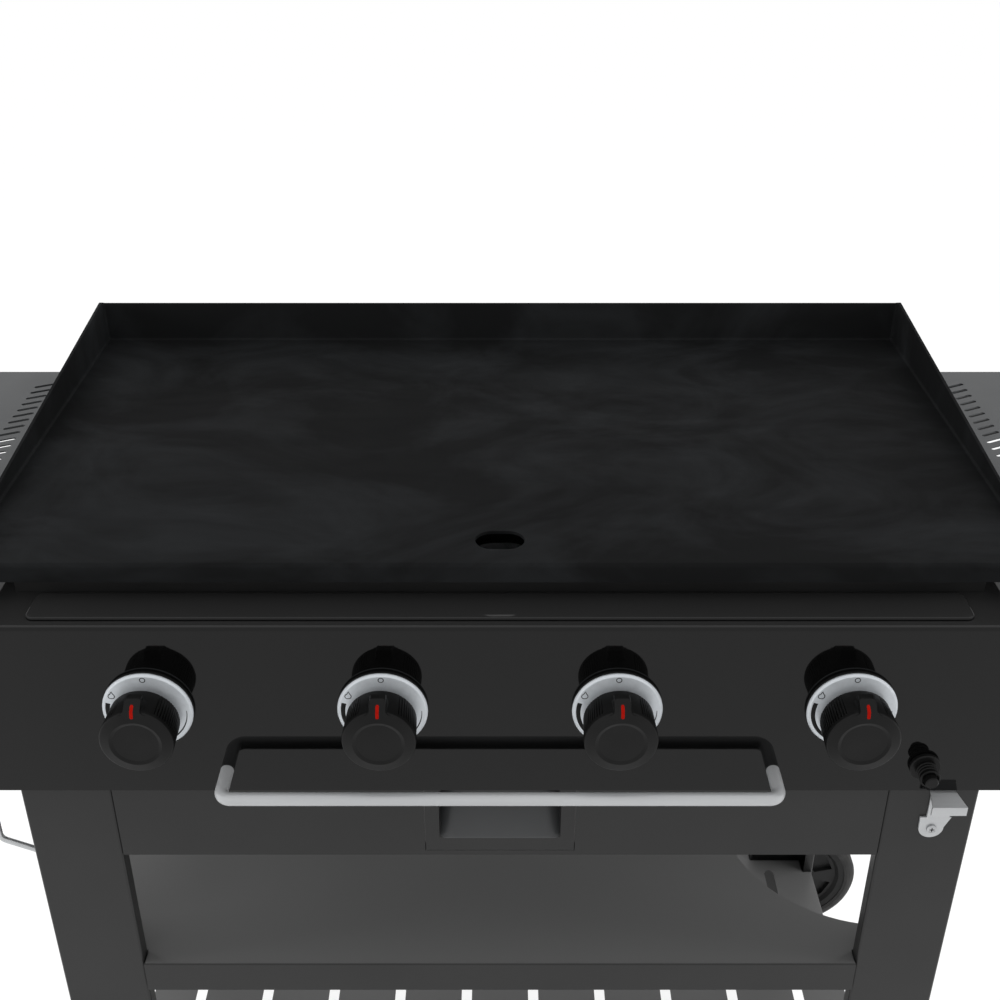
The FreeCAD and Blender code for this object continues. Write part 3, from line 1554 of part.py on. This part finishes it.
def make_leg_bolts():
    """Four bolts through the outer flange of each leg."""
    bolts = []
    for side in (-1, 1):
        for rear in (False, True):
            for height in bolt_heights:
                name = f"bolt_{len(bolts)}"
                y = leg_bolt_y(rear)
                outer = leg_outer * side
                profile = [
                    (-d.sheet * 7 * side, 0),
                    (-d.sheet * 7 * side, bolt_radius),
                    (0, bolt_radius),
                    (0, 5.5),
                    (1.6 * side, 5.2),
                    (3 * side, 3.4),
                    (3 * side, 0),
                ]
                bolts.append(lathe(name, "x", profile, outer, y, height))
    keep(group("bolt_group", *bolts), "leg_bolts")


def make_screws():
    """Three pan-head screws: one through the bottle opener, two behind the towel bar's feet."""
    spots = (
        (opener_screw_x, leg_y - d.opener_steel, opener_screw_z, 1),
        (-d.bar_reach, panel_y + d.sheet, bar_z, -1),
        (d.bar_reach, panel_y + d.sheet, bar_z, -1),
    )
    screws = []
    for index, (x, y, z, way) in enumerate(spots):
        profile = [
            (-2.8 * way, 0),
            (-2.8 * way, 2.6),
            (-1.8 * way, 4.4),
            (-0.02 * way, 4.8),
            (-0.02 * way, screw_radius - 0.1),
            (10 * way, screw_radius - 0.1),
            (10 * way, 0),
        ]
        screws.append(lathe(f"screw_{index}", "y", profile, x, y, z))
    keep(group("screw_group", *screws), "pan_head_screws")


make_griddle()
make_griddle_feet()
make_firebox()
make_burners()
make_burner_support()
make_carryovers()
make_manifold()
make_gas_inlet()
make_valves()
make_stems()
make_knobs()
make_bezels()
make_panel()
make_towel_bar()
make_igniter()
make_electrodes()
make_leg("leg_front_left", -1, False)
make_leg("leg_front_right", 1, False)
make_leg("leg_rear_left", -1, True)
make_leg("leg_rear_right", 1, True)
make_feet()
make_wheels()
make_axle()
make_middle_shelf()
make_bottom_shelf()
make_front_apron()
make_rear_crossmember()
make_top_rails()
make_grease_tray()
make_tray_runners()
make_chute()
make_side_shelves()
make_shelf_brackets()
make_bottle_opener()
make_side_rail()
make_leg_bolts()
make_screws()

doc.recompute()
for obj in doc.Objects:
    if "Invalid" in obj.State or "Error" in obj.State:
        raise RuntimeError(f"{obj.Name} did not build: {obj.State}")
for obj in PARTS:
    if obj.Shape.isNull() or not obj.Shape.isValid() or not obj.Shape.Solids:
        raise RuntimeError(f"{obj.Label} has no valid solid")

os.makedirs("parts", exist_ok=True)
for obj in PARTS:
    obj.Shape.exportStep(os.path.join("parts", obj.Label + ".step"))
print(len(PARTS), "sub-parts written")
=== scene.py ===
import json
import math

import bpy
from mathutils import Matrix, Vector
from mathutils.bvhtree import BVHTree


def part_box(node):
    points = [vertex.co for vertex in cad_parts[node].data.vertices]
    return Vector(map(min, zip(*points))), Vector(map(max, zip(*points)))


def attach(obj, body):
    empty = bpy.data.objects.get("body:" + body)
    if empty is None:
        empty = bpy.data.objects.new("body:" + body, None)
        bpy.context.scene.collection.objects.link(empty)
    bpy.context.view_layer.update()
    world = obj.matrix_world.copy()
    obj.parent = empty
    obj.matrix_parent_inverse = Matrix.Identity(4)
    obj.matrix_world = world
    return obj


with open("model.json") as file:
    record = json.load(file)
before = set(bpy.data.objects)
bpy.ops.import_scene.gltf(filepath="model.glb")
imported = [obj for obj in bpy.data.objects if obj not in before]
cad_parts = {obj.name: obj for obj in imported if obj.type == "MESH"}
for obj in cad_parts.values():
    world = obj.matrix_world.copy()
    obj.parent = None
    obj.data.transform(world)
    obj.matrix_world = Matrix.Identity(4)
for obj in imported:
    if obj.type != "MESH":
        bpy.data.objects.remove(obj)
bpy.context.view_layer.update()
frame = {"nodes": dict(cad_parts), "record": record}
nodes = frame["nodes"]
MM = 0.001
X, Y = 0, 1


# ---------------------------------------------------------------- materials
# Most of a noise's values lie between these two.
NOISE_LOW = 0.3
NOISE_HIGH = 0.7

# The upward part of a surface's direction at which the painted top light begins, and at which it
# is full: tops are painted lighter, standing in for the light that falls on them.
TOP_LIGHT_BEGINS = 0.75
TOP_LIGHT_COVERS = 0.98


class Paint:
    """A procedural material: a principled shader with noise on colour, roughness and surface."""

    def __init__(self, name, metallic=0.0, ior=1.5):
        self.material = bpy.data.materials.new(name)
        self.material.use_nodes = True
        self.tree = self.material.node_tree
        self.shader = self.tree.nodes["Principled BSDF"]
        self.shader.inputs["Metallic"].default_value = metallic
        self.shader.inputs["IOR"].default_value = ior
        self.place = self.node("ShaderNodeTexCoord").outputs["Object"]
        self.height = None

    def node(self, kind):
        return self.tree.nodes.new(kind)

    def link(self, source, target):
        self.tree.links.new(source, target)

    def noise(self, scale, detail=3.0, rough=0.55, stretch=(1, 1, 1), distortion=0.0):
        """Noise in the object's own place; scale is features per metre."""
        mapping = self.node("ShaderNodeMapping")
        mapping.inputs["Scale"].default_value = stretch
        self.link(self.place, mapping.inputs["Vector"])
        made = self.node("ShaderNodeTexNoise")
        made.inputs["Scale"].default_value = scale
        made.inputs["Detail"].default_value = detail
        made.inputs["Roughness"].default_value = rough
        made.inputs["Distortion"].default_value = distortion
        self.link(mapping.outputs["Vector"], made.inputs["Vector"])
        return made.outputs["Fac"]

    def spread(self, source, low, high, start=NOISE_LOW, end=NOISE_HIGH):
        """source between start and end becomes a number between low and high."""
        made = self.node("ShaderNodeMapRange")
        made.inputs["From Min"].default_value = start
        made.inputs["From Max"].default_value = end
        made.inputs["To Min"].default_value = low
        made.inputs["To Max"].default_value = high
        self.link(source, made.inputs["Value"])
        return made.outputs["Result"]

    def blend(self, source, *stops):
        """source from 0 to 1 becomes a colour, through stops of (place, colour)."""
        ramp = self.node("ShaderNodeValToRGB")
        elements = ramp.color_ramp.elements
        while len(elements) < len(stops):
            elements.new(0.5)
        for element, (place, colour) in zip(elements, stops):
            element.position = place
            element.color = (*colour, 1)
        self.link(source, ramp.inputs["Fac"])
        return ramp.outputs["Color"]

    def colour(self, source, dark, light, start=NOISE_LOW, end=NOISE_HIGH, top_light=None):
        """source chooses between two colours; top_light is a third, painted light that lies on
        what faces up.
        """
        colours = self.blend(source, (start, dark), (end, light))
        # Painted light: what faces up is painted a lighter colour, standing in for the light that
        # falls on tops.
        if top_light:
            parts = self.node("ShaderNodeSeparateXYZ")
            self.link(self.node("ShaderNodeTexCoord").outputs["Normal"], parts.inputs["Vector"])
            mix = self.node("ShaderNodeMixRGB")
            top_light_share = self.spread(parts.outputs["Z"], 0, 1, TOP_LIGHT_BEGINS, TOP_LIGHT_COVERS)
            self.link(top_light_share, mix.inputs["Fac"])
            self.link(colours, mix.inputs["Color1"])
            mix.inputs["Color2"].default_value = (*top_light, 1)
            colours = mix.outputs["Color"]
        self.link(colours, self.shader.inputs["Base Color"])

    def rough(self, source, low, high, start=NOISE_LOW, end=NOISE_HIGH):
        self.link(self.spread(source, low, high, start, end), self.shader.inputs["Roughness"])

    def relief(self, source, depth, strength):
        """source raises the surface by depth metres; several calls add up."""
        bump = self.node("ShaderNodeBump")
        bump.inputs["Strength"].default_value = strength
        bump.inputs["Distance"].default_value = depth
        self.link(source, bump.inputs["Height"])
        if self.height is not None:
            self.link(self.height, bump.inputs["Normal"])
        self.height = bump.outputs["Normal"]
        self.link(self.height, self.shader.inputs["Normal"])


def grey(value, warm=0.0):
    return (value * (1 + warm), value, value * (1 - warm))


def griddle_steel():
    paint = Paint("griddle_steel", ior=1.045)
    smears = paint.noise(4.2, detail=7, rough=0.62, stretch=(1, 1.5, 1), distortion=1.6)
    paint.colour(smears, grey(0.0090, -0.03), grey(0.0195, -0.06), start=0.42, end=0.74)
    streaks = paint.noise(11, detail=5, rough=0.6, stretch=(0.7, 2.5, 1), distortion=1.0)
    paint.rough(streaks, 0.30, 0.52, start=0.32)
    paint.relief(paint.noise(900, detail=2), depth=0.04 * MM, strength=0.35)
    paint.relief(paint.noise(9, detail=2), depth=1.6 * MM, strength=0.12)
    return paint.material


def powder_coat(name, low, high, roughness, top_light=None, warm=0.0):
    paint = Paint(name, ior=1.34)
    clouds = paint.noise(7)
    # The third colour, if given, is painted light: a lighter grey on what faces up.
    paint.colour(clouds, grey(low, warm), grey(high, warm), end=0.72, top_light=top_light and grey(top_light))
    paint.rough(paint.noise(16, detail=2), roughness - 0.02, roughness + 0.04)
    paint.relief(paint.noise(330, detail=1), depth=0.06 * MM, strength=0.2)
    return paint.material


def enamel():
    paint = Paint("panel_paint", ior=1.32)
    # The enamel's tops are painted lighter, as painted light from above.
    paint.colour(paint.noise(6, detail=2), grey(0.0018), grey(0.0026), top_light=grey(0.022))
    paint.rough(paint.noise(25), 0.03, 0.055)
    paint.relief(paint.noise(55, detail=2), depth=0.02 * MM, strength=0.25)
    return paint.material


def brushed(name, low, high, roughness, stretch=(1, 1, 1), metallic=1.0, grain=60, warm=-0.02):
    """Metal with fine lines: grain is lines per metre before the stretch."""
    paint = Paint(name, metallic=metallic)
    lines = paint.noise(grain, detail=4, rough=0.6, stretch=stretch)
    paint.colour(lines, grey(low, warm), grey(high, warm))
    paint.rough(lines, roughness - 0.05, roughness + 0.08)
    paint.relief(lines, depth=0.03 * MM, strength=0.25)
    return paint.material


def plastic(name, low, high, roughness):
    paint = Paint(name, ior=1.24)
    paint.colour(paint.noise(30), grey(low), grey(high))
    paint.rough(paint.noise(120), roughness - 0.05, roughness + 0.07)
    paint.relief(paint.noise(1400, detail=2), depth=0.05 * MM, strength=0.4)
    return paint.material


def rubber():
    paint = Paint("tyre_rubber")
    paint.colour(paint.noise(22, detail=4), grey(0.011), grey(0.024, 0.03), start=0.35, end=0.75)
    paint.rough(paint.noise(60), 0.55, 0.78)
    paint.relief(paint.noise(1100), depth=0.12 * MM, strength=0.5)
    return paint.material


def brass():
    paint = Paint("brass", metallic=1.0)
    turned = paint.noise(90, rough=0.5, stretch=(1, 1, 9))
    paint.colour(turned, (0.50, 0.33, 0.12), (0.66, 0.47, 0.20))
    paint.rough(turned, 0.24, 0.38)
    return paint.material


def ceramic():
    paint = Paint("white_ceramic")
    paint.colour(paint.noise(160), (0.74, 0.72, 0.66), (0.84, 0.82, 0.77))
    paint.rough(paint.noise(200, detail=2), 0.4, 0.55)
    return paint.material


def heat_tinted():
    paint = Paint("burner_steel", metallic=1.0)
    tint = paint.noise(11, detail=4, rough=0.6)
    grey_steel = (0.3, (0.40, 0.39, 0.37))
    straw = (0.5, (0.34, 0.30, 0.26))
    violet = (0.72, (0.22, 0.20, 0.22))
    colours = paint.blend(tint, grey_steel, straw, violet)
    paint.link(colours, paint.shader.inputs["Base Color"])
    paint.rough(paint.noise(70), 0.34, 0.52)
    return paint.material


def ink(name, low, high):
    paint = Paint(name, ior=1.12)
    paint.colour(paint.noise(300), low, high)
    paint.rough(paint.noise(400, detail=2), 0.44, 0.56)
    return paint.material


MATERIALS = {
    "griddle_steel": griddle_steel(),
    # The black paint's tops are painted lighter, as painted light from above.
    "black_paint": powder_coat("black_paint", 0.0135, 0.0175, 0.30, top_light=0.086),
    "panel_paint": enamel(),
    "shelf_paint": powder_coat("shelf_paint", 0.040, 0.048, 0.36, warm=-0.05),
    "stainless": brushed("stainless", 0.43, 0.49, 0.36, stretch=(0.08, 1, 1), metallic=0.25),
    "bezel_metal": brushed("bezel_metal", 0.62, 0.68, 0.40, metallic=0.30, grain=220, warm=-0.05),
    "chrome_trim": brushed("chrome_trim", 0.46, 0.54, 0.20, metallic=0.6, grain=90),
    "bare_steel": brushed("bare_steel", 0.40, 0.50, 0.32, grain=150),
    "burner_steel": heat_tinted(),
    "valve_alloy": brushed("valve_alloy", 0.42, 0.50, 0.46, grain=260),
    "brass": brass(),
    "black_plastic": plastic("black_plastic", 0.004, 0.007, 0.36),
    "hub_plastic": plastic("hub_plastic", 0.014, 0.020, 0.42),
    "tyre_rubber": rubber(),
    "white_ceramic": ceramic(),
    "black_bolts": powder_coat("black_bolts", 0.010, 0.016, 0.3),
}

for row in frame["record"]["subparts"]:
    slots = nodes[row["node"]].data.materials
    slots.clear()
    slots.append(MATERIALS[row["material_slot"]])


# ---------------------------------------------------------------- thin films
# How far a film's front stands above the surface and its back lies below it.
FILM_LIFT = 0.15 * MM
FILM_SINK = 0.3 * MM

# Where a ray towards the surface starts: this far from the object's middle plane, in metres.
RAY_START = 1.0


def new_piece(name, points, faces, material, body):
    mesh = bpy.data.meshes.new(name)
    mesh.from_pydata([tuple(point) for point in points], [], faces)
    mesh.validate()
    piece = bpy.data.objects.new(name, mesh)
    bpy.context.collection.objects.link(piece)
    mesh.materials.append(material)
    for face in mesh.polygons:
        face.use_smooth = True
    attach(piece, body)
    return piece


def surface_of(node):
    mesh = nodes[node].data
    points = [vertex.co.copy() for vertex in mesh.vertices]
    return BVHTree.FromPolygons(points, [tuple(face.vertices) for face in mesh.polygons])


def film(name, shape, tree, material, body, lift=FILM_LIFT, sink=FILM_SINK, axis=Y, way=1):
    """A thin closed film on a surface: shape is a grid of (across, z) points.

    It is laid along the axis X or Y, in the direction that way says, 1 or -1.
    """
    rows = len(shape)
    columns = len(shape[0])
    look = Vector((0, 0, 0))
    look[axis] = way
    front, back = [], []
    depth = None
    for row in shape:
        for across, z in row:
            place = Vector((across, across, z))
            place[axis] = -way * RAY_START
            hit = tree.ray_cast(place, look)[0]
            if hit is not None:
                depth = hit[axis]
            if depth is None:
                depth = tree.find_nearest(place)[0][axis]
            place[axis] = depth
            front.append(place - look * lift)
            back.append(place + look * sink)
    count = rows * columns
    faces = []
    for r in range(rows - 1):
        for c in range(columns - 1):
            a = r * columns + c
            b, d, e = a + 1, a + columns, a + columns + 1
            faces.append((a, b, e, d))
            faces.append((count + a, count + d, count + e, count + b))
    edge = list(range(columns))
    edge += [r * columns + columns - 1 for r in range(1, rows)]
    edge += [(rows - 1) * columns + c for c in range(columns - 2, -1, -1)]
    edge += [r * columns for r in range(rows - 2, 0, -1)]
    for a, b in zip(edge, edge[1:] + edge[:1]):
        faces.append((a, count + a, count + b, b))
    return new_piece(name, front + back, faces, material, body)


def middle(node):
    low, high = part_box(node)
    return (low[0] + high[0]) / 2, (low[2] + high[2]) / 2


def spaced_row(middle_across, half, z, columns):
    """A level row of points, evenly spaced from one side to the other."""
    return [(middle_across + half * (2 * c / (columns - 1) - 1), z) for c in range(columns)]


def corner_inset(corner, distance):
    """How far a rounded corner stands in, at a distance from the end that it rounds."""
    if distance >= corner:
        return 0.0
    return corner - math.sqrt(max(corner**2 - (corner - distance) ** 2, 0))


# ---------------------------------------------------------------- knobs and bezels
# The red line on a knob's pointer: its ends below the knob's top, its width, and the rounding of
# its corners as a share of the width.
POINTER_FOOT = 12.6 * MM
POINTER_HEAD = 3.0 * MM
POINTER_WIDTH = 2.9 * MM
POINTER_ROUNDING = 0.22

# The dial on a bezel. Its marks lie on one circle, at clock angles in degrees.
MARK_RADIUS = 34.5 * MM
MARK_LIFT = 0.08 * MM
LINE_WIDTH = 0.75 * MM
OFF_RADIUS = 2.3 * MM
OFF_POINTS = 28
FLAME_SIZE = 7.5 * MM
FLAME_ANGLE = -58
BAND_ANGLES = (-74, -272)
BAND_WIDTHS = (4.2 * MM, 0.5 * MM)

# A plain flame, from its foot up its right side and down its left: a drop with a leaning tip
# and a notch.
FLAME = (
    (0.00, -0.50), (0.20, -0.47), (0.34, -0.34), (0.38, -0.15), (0.33, 0.02), (0.22, 0.16),
    (0.14, 0.32), (0.10, 0.52), (-0.02, 0.36), (-0.10, 0.20), (-0.16, 0.06), (-0.22, 0.14),
    (-0.30, 0.02), (-0.37, -0.16), (-0.33, -0.34), (-0.20, -0.47),
)


def stripe(x, low, high, rows=14, columns=5):
    """Upright strip with rounded ends."""
    shape = []
    for r in range(rows):
        share = r / (rows - 1)
        z = low + (high - low) * share
        inset = corner_inset(POINTER_WIDTH * POINTER_ROUNDING, min(z - low, high - z))
        shape.append(spaced_row(x, POINTER_WIDTH / 2 - inset, z, columns))
    return shape


def heat_band(x, z, steps=56, columns=4):
    """A band on the dial from one clock angle to another, tapering as it goes."""
    start, end = BAND_ANGLES
    wide, narrow = BAND_WIDTHS
    shape = []
    for step in range(steps):
        share = step / (steps - 1)
        angle = math.radians(start + (end - start) * share)
        width = wide + (narrow - wide) * share
        row = []
        for c in range(columns):
            r = MARK_RADIUS + width * (c / (columns - 1) - 0.5)
            row.append((x + r * math.sin(angle), z + r * math.cos(angle)))
        shape.append(row)
    return shape


def loop_band(points, columns=3):
    """Closed line along points."""
    shape = []
    count = len(points)
    for index in range(count + 1):
        before = Vector(points[(index - 1) % count])
        here = Vector(points[index % count])
        after = Vector(points[(index + 1) % count])
        run = (after - before).normalized()
        side = Vector((-run.y, run.x))
        places = [c / (columns - 1) - 0.5 for c in range(columns)]
        shape.append([tuple(here + side * LINE_WIDTH * place) for place in places])
    return shape


def off_mark(x, z):
    """A circle at the top of the dial."""
    angles = [2 * math.pi * k / OFF_POINTS for k in range(OFF_POINTS)]
    up = z + MARK_RADIUS
    circle = [(x + OFF_RADIUS * math.sin(a), up + OFF_RADIUS * math.cos(a)) for a in angles]
    return loop_band(circle)


def flame_mark(x, z):
    """A flame's outline at its place on the dial."""
    angle = math.radians(FLAME_ANGLE)
    left, up = x + MARK_RADIUS * math.sin(angle), z + MARK_RADIUS * math.cos(angle)
    outline = [(left + FLAME_SIZE * a, up + FLAME_SIZE * b) for a, b in FLAME]
    return loop_band(outline)


MARKS = {"off_mark": off_mark, "flame_mark": flame_mark, "heat_band": heat_band}

RED_INK = ink("pointer_red", (0.28, 0.004, 0.001), (0.33, 0.006, 0.002))
# This dark ink prints the dial marks and also paints the shade inside the screw drives.
DARK_INK_AND_SHADE = ink("mark_ink_and_shade", grey(0.012), grey(0.022))

for index in range(1, 5):
    knob, ring = f"knob_{index}", f"bezel_ring_{index}"
    x, z = middle(ring)
    knob_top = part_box(knob)[1][2]
    strip = stripe(x, knob_top - POINTER_FOOT, knob_top - POINTER_HEAD)
    tree = surface_of(knob)
    film(f"pointer_line_{index}", strip, tree, RED_INK, f"knob_body_{index}")
    tree = surface_of(ring)
    for mark, shape_of in MARKS.items():
        shape = shape_of(x, z)
        film(f"{mark}_{index}", shape, tree, DARK_INK_AND_SHADE, "cart", MARK_LIFT)


# ---------------------------------------------------------------- grease tray
# The finger recess in the tray's front: half its width, and its heights above the ground.
RECESS_HALF = 56.4 * MM
RECESS_BOTTOM = 629.5 * MM
RECESS_TOP = 688 * MM
RECESS_CORNER = 5 * MM
RECESS_LIGHT_LIFT = 0.05 * MM
RECESS_LIGHT_SINK = 0.2 * MM

# A power above 1 crowds the painted light sheet's rows towards its rounded lower corners.
RECESS_CROWDING = 1.6


def rounded_panel(rows=16, columns=9):
    """The recess's sheet of painted light with rounded lower corners, as rows of points from the
    bottom up.
    """
    shape = []
    for r in range(rows):
        share = (r / (rows - 1)) ** RECESS_CROWDING
        z = RECESS_BOTTOM + (RECESS_TOP - RECESS_BOTTOM) * share
        inset = corner_inset(RECESS_CORNER, z - RECESS_BOTTOM)
        shape.append(spaced_row(0, RECESS_HALF - inset, z, columns))
    return shape


recess = rounded_panel()
# Painted light: the recess is covered with a lighter sheet that stands in for the reflected light
# it catches.
recess_light_paint = powder_coat("tray_recess_painted_light", 0.046, 0.058, 0.36, warm=-0.03)
tree = surface_of("grease_tray")
film("tray_recess_light_sheet", recess, tree, recess_light_paint, "tray", RECESS_LIGHT_LIFT, RECESS_LIGHT_SINK)


# ---------------------------------------------------------------- screws and bolts
# The cross slot in a screw's head. The taper is the share of its width that is lost at the ends.
CROSS_LENGTH = 4.6 * MM
CROSS_WIDTH = 1.3 * MM
CROSS_TAPER = 0.3

# The socket in a bolt's head, with its rings of points as shares of the radius.
SOCKET_RADIUS = 2.2 * MM
SOCKET_RINGS = (0.05, 0.5, 1)

DRIVE_LIFT = 0.06 * MM
DRIVE_SINK = 0.2 * MM

# The bottle opener's screw is farther than this from the middle, in metres, and is seen from the
# front. The towel bar's two screws are nearer and are seen from the back.
OPENER_SIDE = 0.3


def separate_boxes(node):
    """The boxes of a node's unconnected pieces."""
    mesh = nodes[node].data
    parent = list(range(len(mesh.vertices)))

    def root(item):
        while parent[item] != item:
            parent[item] = parent[parent[item]]
            item = parent[item]
        return item

    seen = {}
    for vertex in mesh.vertices:
        key = tuple(round(number, 6) for number in vertex.co)
        parent[vertex.index] = seen.setdefault(key, vertex.index)
    for edge in mesh.edges:
        a, b = root(edge.vertices[0]), root(edge.vertices[1])
        parent[a] = b
    boxes = {}
    for vertex in mesh.vertices:
        low, high = boxes.setdefault(root(vertex.index), (vertex.co.copy(), vertex.co.copy()))
        for axis in range(3):
            low[axis] = min(low[axis], vertex.co[axis])
            high[axis] = max(high[axis], vertex.co[axis])
    return list(boxes.values())


def bar_shape(across, z, turned, steps=7):
    """A bar of a cross slot round (across, z), upright or turned, narrower at its ends."""
    shape = []
    for step in range(steps):
        along = CROSS_LENGTH * (step / (steps - 1) - 0.5)
        half = CROSS_WIDTH / 2 * (1 - CROSS_TAPER * abs(along) / (CROSS_LENGTH / 2))
        row = [(along, -half), (along, 0), (along, half)]
        if turned:
            shape.append([(across + a, z + b) for a, b in row])
        else:
            shape.append([(across + b, z + a) for a, b in row])
    return shape


def socket_shape(across, z):
    """A six-sided socket as rings of points round (across, z)."""
    corners = [(math.sin(math.pi * k / 3), math.cos(math.pi * k / 3)) for k in range(7)]
    shape = []
    for share in SOCKET_RINGS:
        radius = SOCKET_RADIUS * share
        shape.append([(across + radius * a, z + radius * b) for a, b in corners])
    return shape


def drive(name, shape, tree, axis, way):
    """A dark sheet of painted shade for the slot or socket in a screw's head."""
    film(name, shape, tree, DARK_INK_AND_SHADE, "cart", DRIVE_LIFT, DRIVE_SINK, axis, way)


# Painted shade: each screw's cross and each bolt's socket is a dark sheet, not a recess, standing
# in for the shade inside it.
tree = surface_of("pan_head_screws")
for index, (low, high) in enumerate(separate_boxes("pan_head_screws")):
    x, z = (low.x + high.x) / 2, (low.z + high.z) / 2
    way = 1 if abs(x) > OPENER_SIDE else -1
    for turned in (False, True):
        shape = bar_shape(x, z, turned)
        drive(f"screw_cross_{index}_{int(turned)}", shape, tree, Y, way)

tree = surface_of("leg_bolts")
for index, (low, high) in enumerate(separate_boxes("leg_bolts")):
    y, z = (low.y + high.y) / 2, (low.z + high.z) / 2
    way = 1 if low.x < 0 else -1
    drive(f"bolt_socket_{index}", socket_shape(y, z), tree, X, way)


# ---------------------------------------------------------------- stage, light and camera
FLOOR_HALF = 9.0
FLOOR_DROP = 0.5 * MM
FLOOR_WHITE = 0.86

# Seen directly, the floor is this share of its own glow, and the rest of it takes the shadow.
FLOOR_GLOW = 1.06
FLOOR_GLOW_SHARE = 0.82

# The world's strength as a light. Seen directly it is 1, which is white.
WORLD_STRENGTH = 0.85

# Name, place, target, size and watts of each lamp.
LAMPS = (
    ("overhead", (0.3, -0.4, 3.4), (0, 0, 0.6), (3.0, 2.4), 8),
    ("front_fill", (-1.2, -3.2, 2.2), (0, 0, 0.6), (2.4, 1.8), 13),
    ("rear_fill", (0, 2.6, 1.15), (0, 0, 0.46), (2.6, 0.7), 26),
    ("left_fill", (-1.3, 0, 0.95), (0, 0, 0.46), (0.9, 0.5), 14),
    ("right_fill", (1.3, 0, 0.95), (0, 0, 0.46), (0.9, 0.5), 14),
)

FOCAL_LENGTH = 46.98
SENSOR_WIDTH = 36
CAMERA_PLACE = (0, -1.157, 1.513)
CAMERA_PITCH = 29.45


def seen_directly(tree):
    """1 for camera, glossy and transmission rays."""
    path = tree.nodes.new("ShaderNodeLightPath")
    first = tree.nodes.new("ShaderNodeMath")
    first.operation = "ADD"
    tree.links.new(path.outputs["Is Camera Ray"], first.inputs[0])
    tree.links.new(path.outputs["Is Glossy Ray"], first.inputs[1])
    second = tree.nodes.new("ShaderNodeMath")
    second.operation = "ADD"
    second.use_clamp = True
    tree.links.new(first.outputs[0], second.inputs[0])
    tree.links.new(path.outputs["Is Transmission Ray"], second.inputs[1])
    return second.outputs[0]


def make_floor():
    """A white floor that keeps the object's shadow."""
    half = FLOOR_HALF
    corners = [(-half, -half, 0), (half, -half, 0), (half, half, 0), (-half, half, 0)]
    mesh = bpy.data.meshes.new("floor")
    mesh.from_pydata(corners, [], [(0, 1, 2, 3)])
    floor = bpy.data.objects.new("floor", mesh)
    floor.location.z = -FLOOR_DROP
    bpy.context.collection.objects.link(floor)
    material = bpy.data.materials.new("floor_white")
    material.use_nodes = True
    tree = material.node_tree
    output = tree.nodes["Material Output"]
    diffuse = tree.nodes["Principled BSDF"]
    diffuse.inputs["Base Color"].default_value = (*grey(FLOOR_WHITE), 1)
    diffuse.inputs["Roughness"].default_value = 0.9
    diffuse.inputs["Specular IOR Level"].default_value = 0.0
    glow = tree.nodes.new("ShaderNodeEmission")
    glow.inputs["Strength"].default_value = FLOOR_GLOW
    mix = tree.nodes.new("ShaderNodeMixShader")
    share = tree.nodes.new("ShaderNodeMath")
    share.operation = "MULTIPLY"
    share.inputs[1].default_value = FLOOR_GLOW_SHARE
    tree.links.new(seen_directly(tree), share.inputs[0])
    tree.links.new(share.outputs[0], mix.inputs["Fac"])
    tree.links.new(diffuse.outputs[0], mix.inputs[1])
    tree.links.new(glow.outputs[0], mix.inputs[2])
    tree.links.new(mix.outputs[0], output.inputs["Surface"])
    mesh.materials.append(material)


def make_world():
    """An even white world, a little weaker as a light than as a background."""
    world = bpy.data.worlds.new("studio")
    bpy.context.scene.world = world
    world.use_nodes = True
    tree = world.node_tree
    background = tree.nodes["Background"]
    mix = tree.nodes.new("ShaderNodeMapRange")
    mix.inputs["To Min"].default_value = WORLD_STRENGTH
    mix.inputs["To Max"].default_value = 1.0
    tree.links.new(seen_directly(tree), mix.inputs["Value"])
    tree.links.new(mix.outputs["Result"], background.inputs["Strength"])
    background.inputs["Color"].default_value = (1, 1, 1, 1)


def make_lamp(name, place, target, size, power):
    lamp = bpy.data.lights.new(name, "AREA")
    lamp.shape = "RECTANGLE"
    lamp.size, lamp.size_y = size
    lamp.energy = power
    holder = bpy.data.objects.new(name, lamp)
    holder.location = place
    aim = Vector(target) - Vector(place)
    holder.rotation_euler = aim.to_track_quat("-Z", "Y").to_euler()
    holder.visible_glossy = False
    bpy.context.collection.objects.link(holder)


make_floor()
make_world()
for lamp_row in LAMPS:
    make_lamp(*lamp_row)

lens = bpy.data.cameras.new("camera")
lens.lens = FOCAL_LENGTH
lens.sensor_width = SENSOR_WIDTH
camera = bpy.data.objects.new("camera", lens)
camera.location = CAMERA_PLACE
camera.rotation_euler = (math.radians(90 - CAMERA_PITCH), 0, 0)
bpy.context.collection.objects.link(camera)
scene = bpy.context.scene
scene.camera = camera
scene.view_settings.view_transform = "Standard"

bpy.context.view_layer.update()
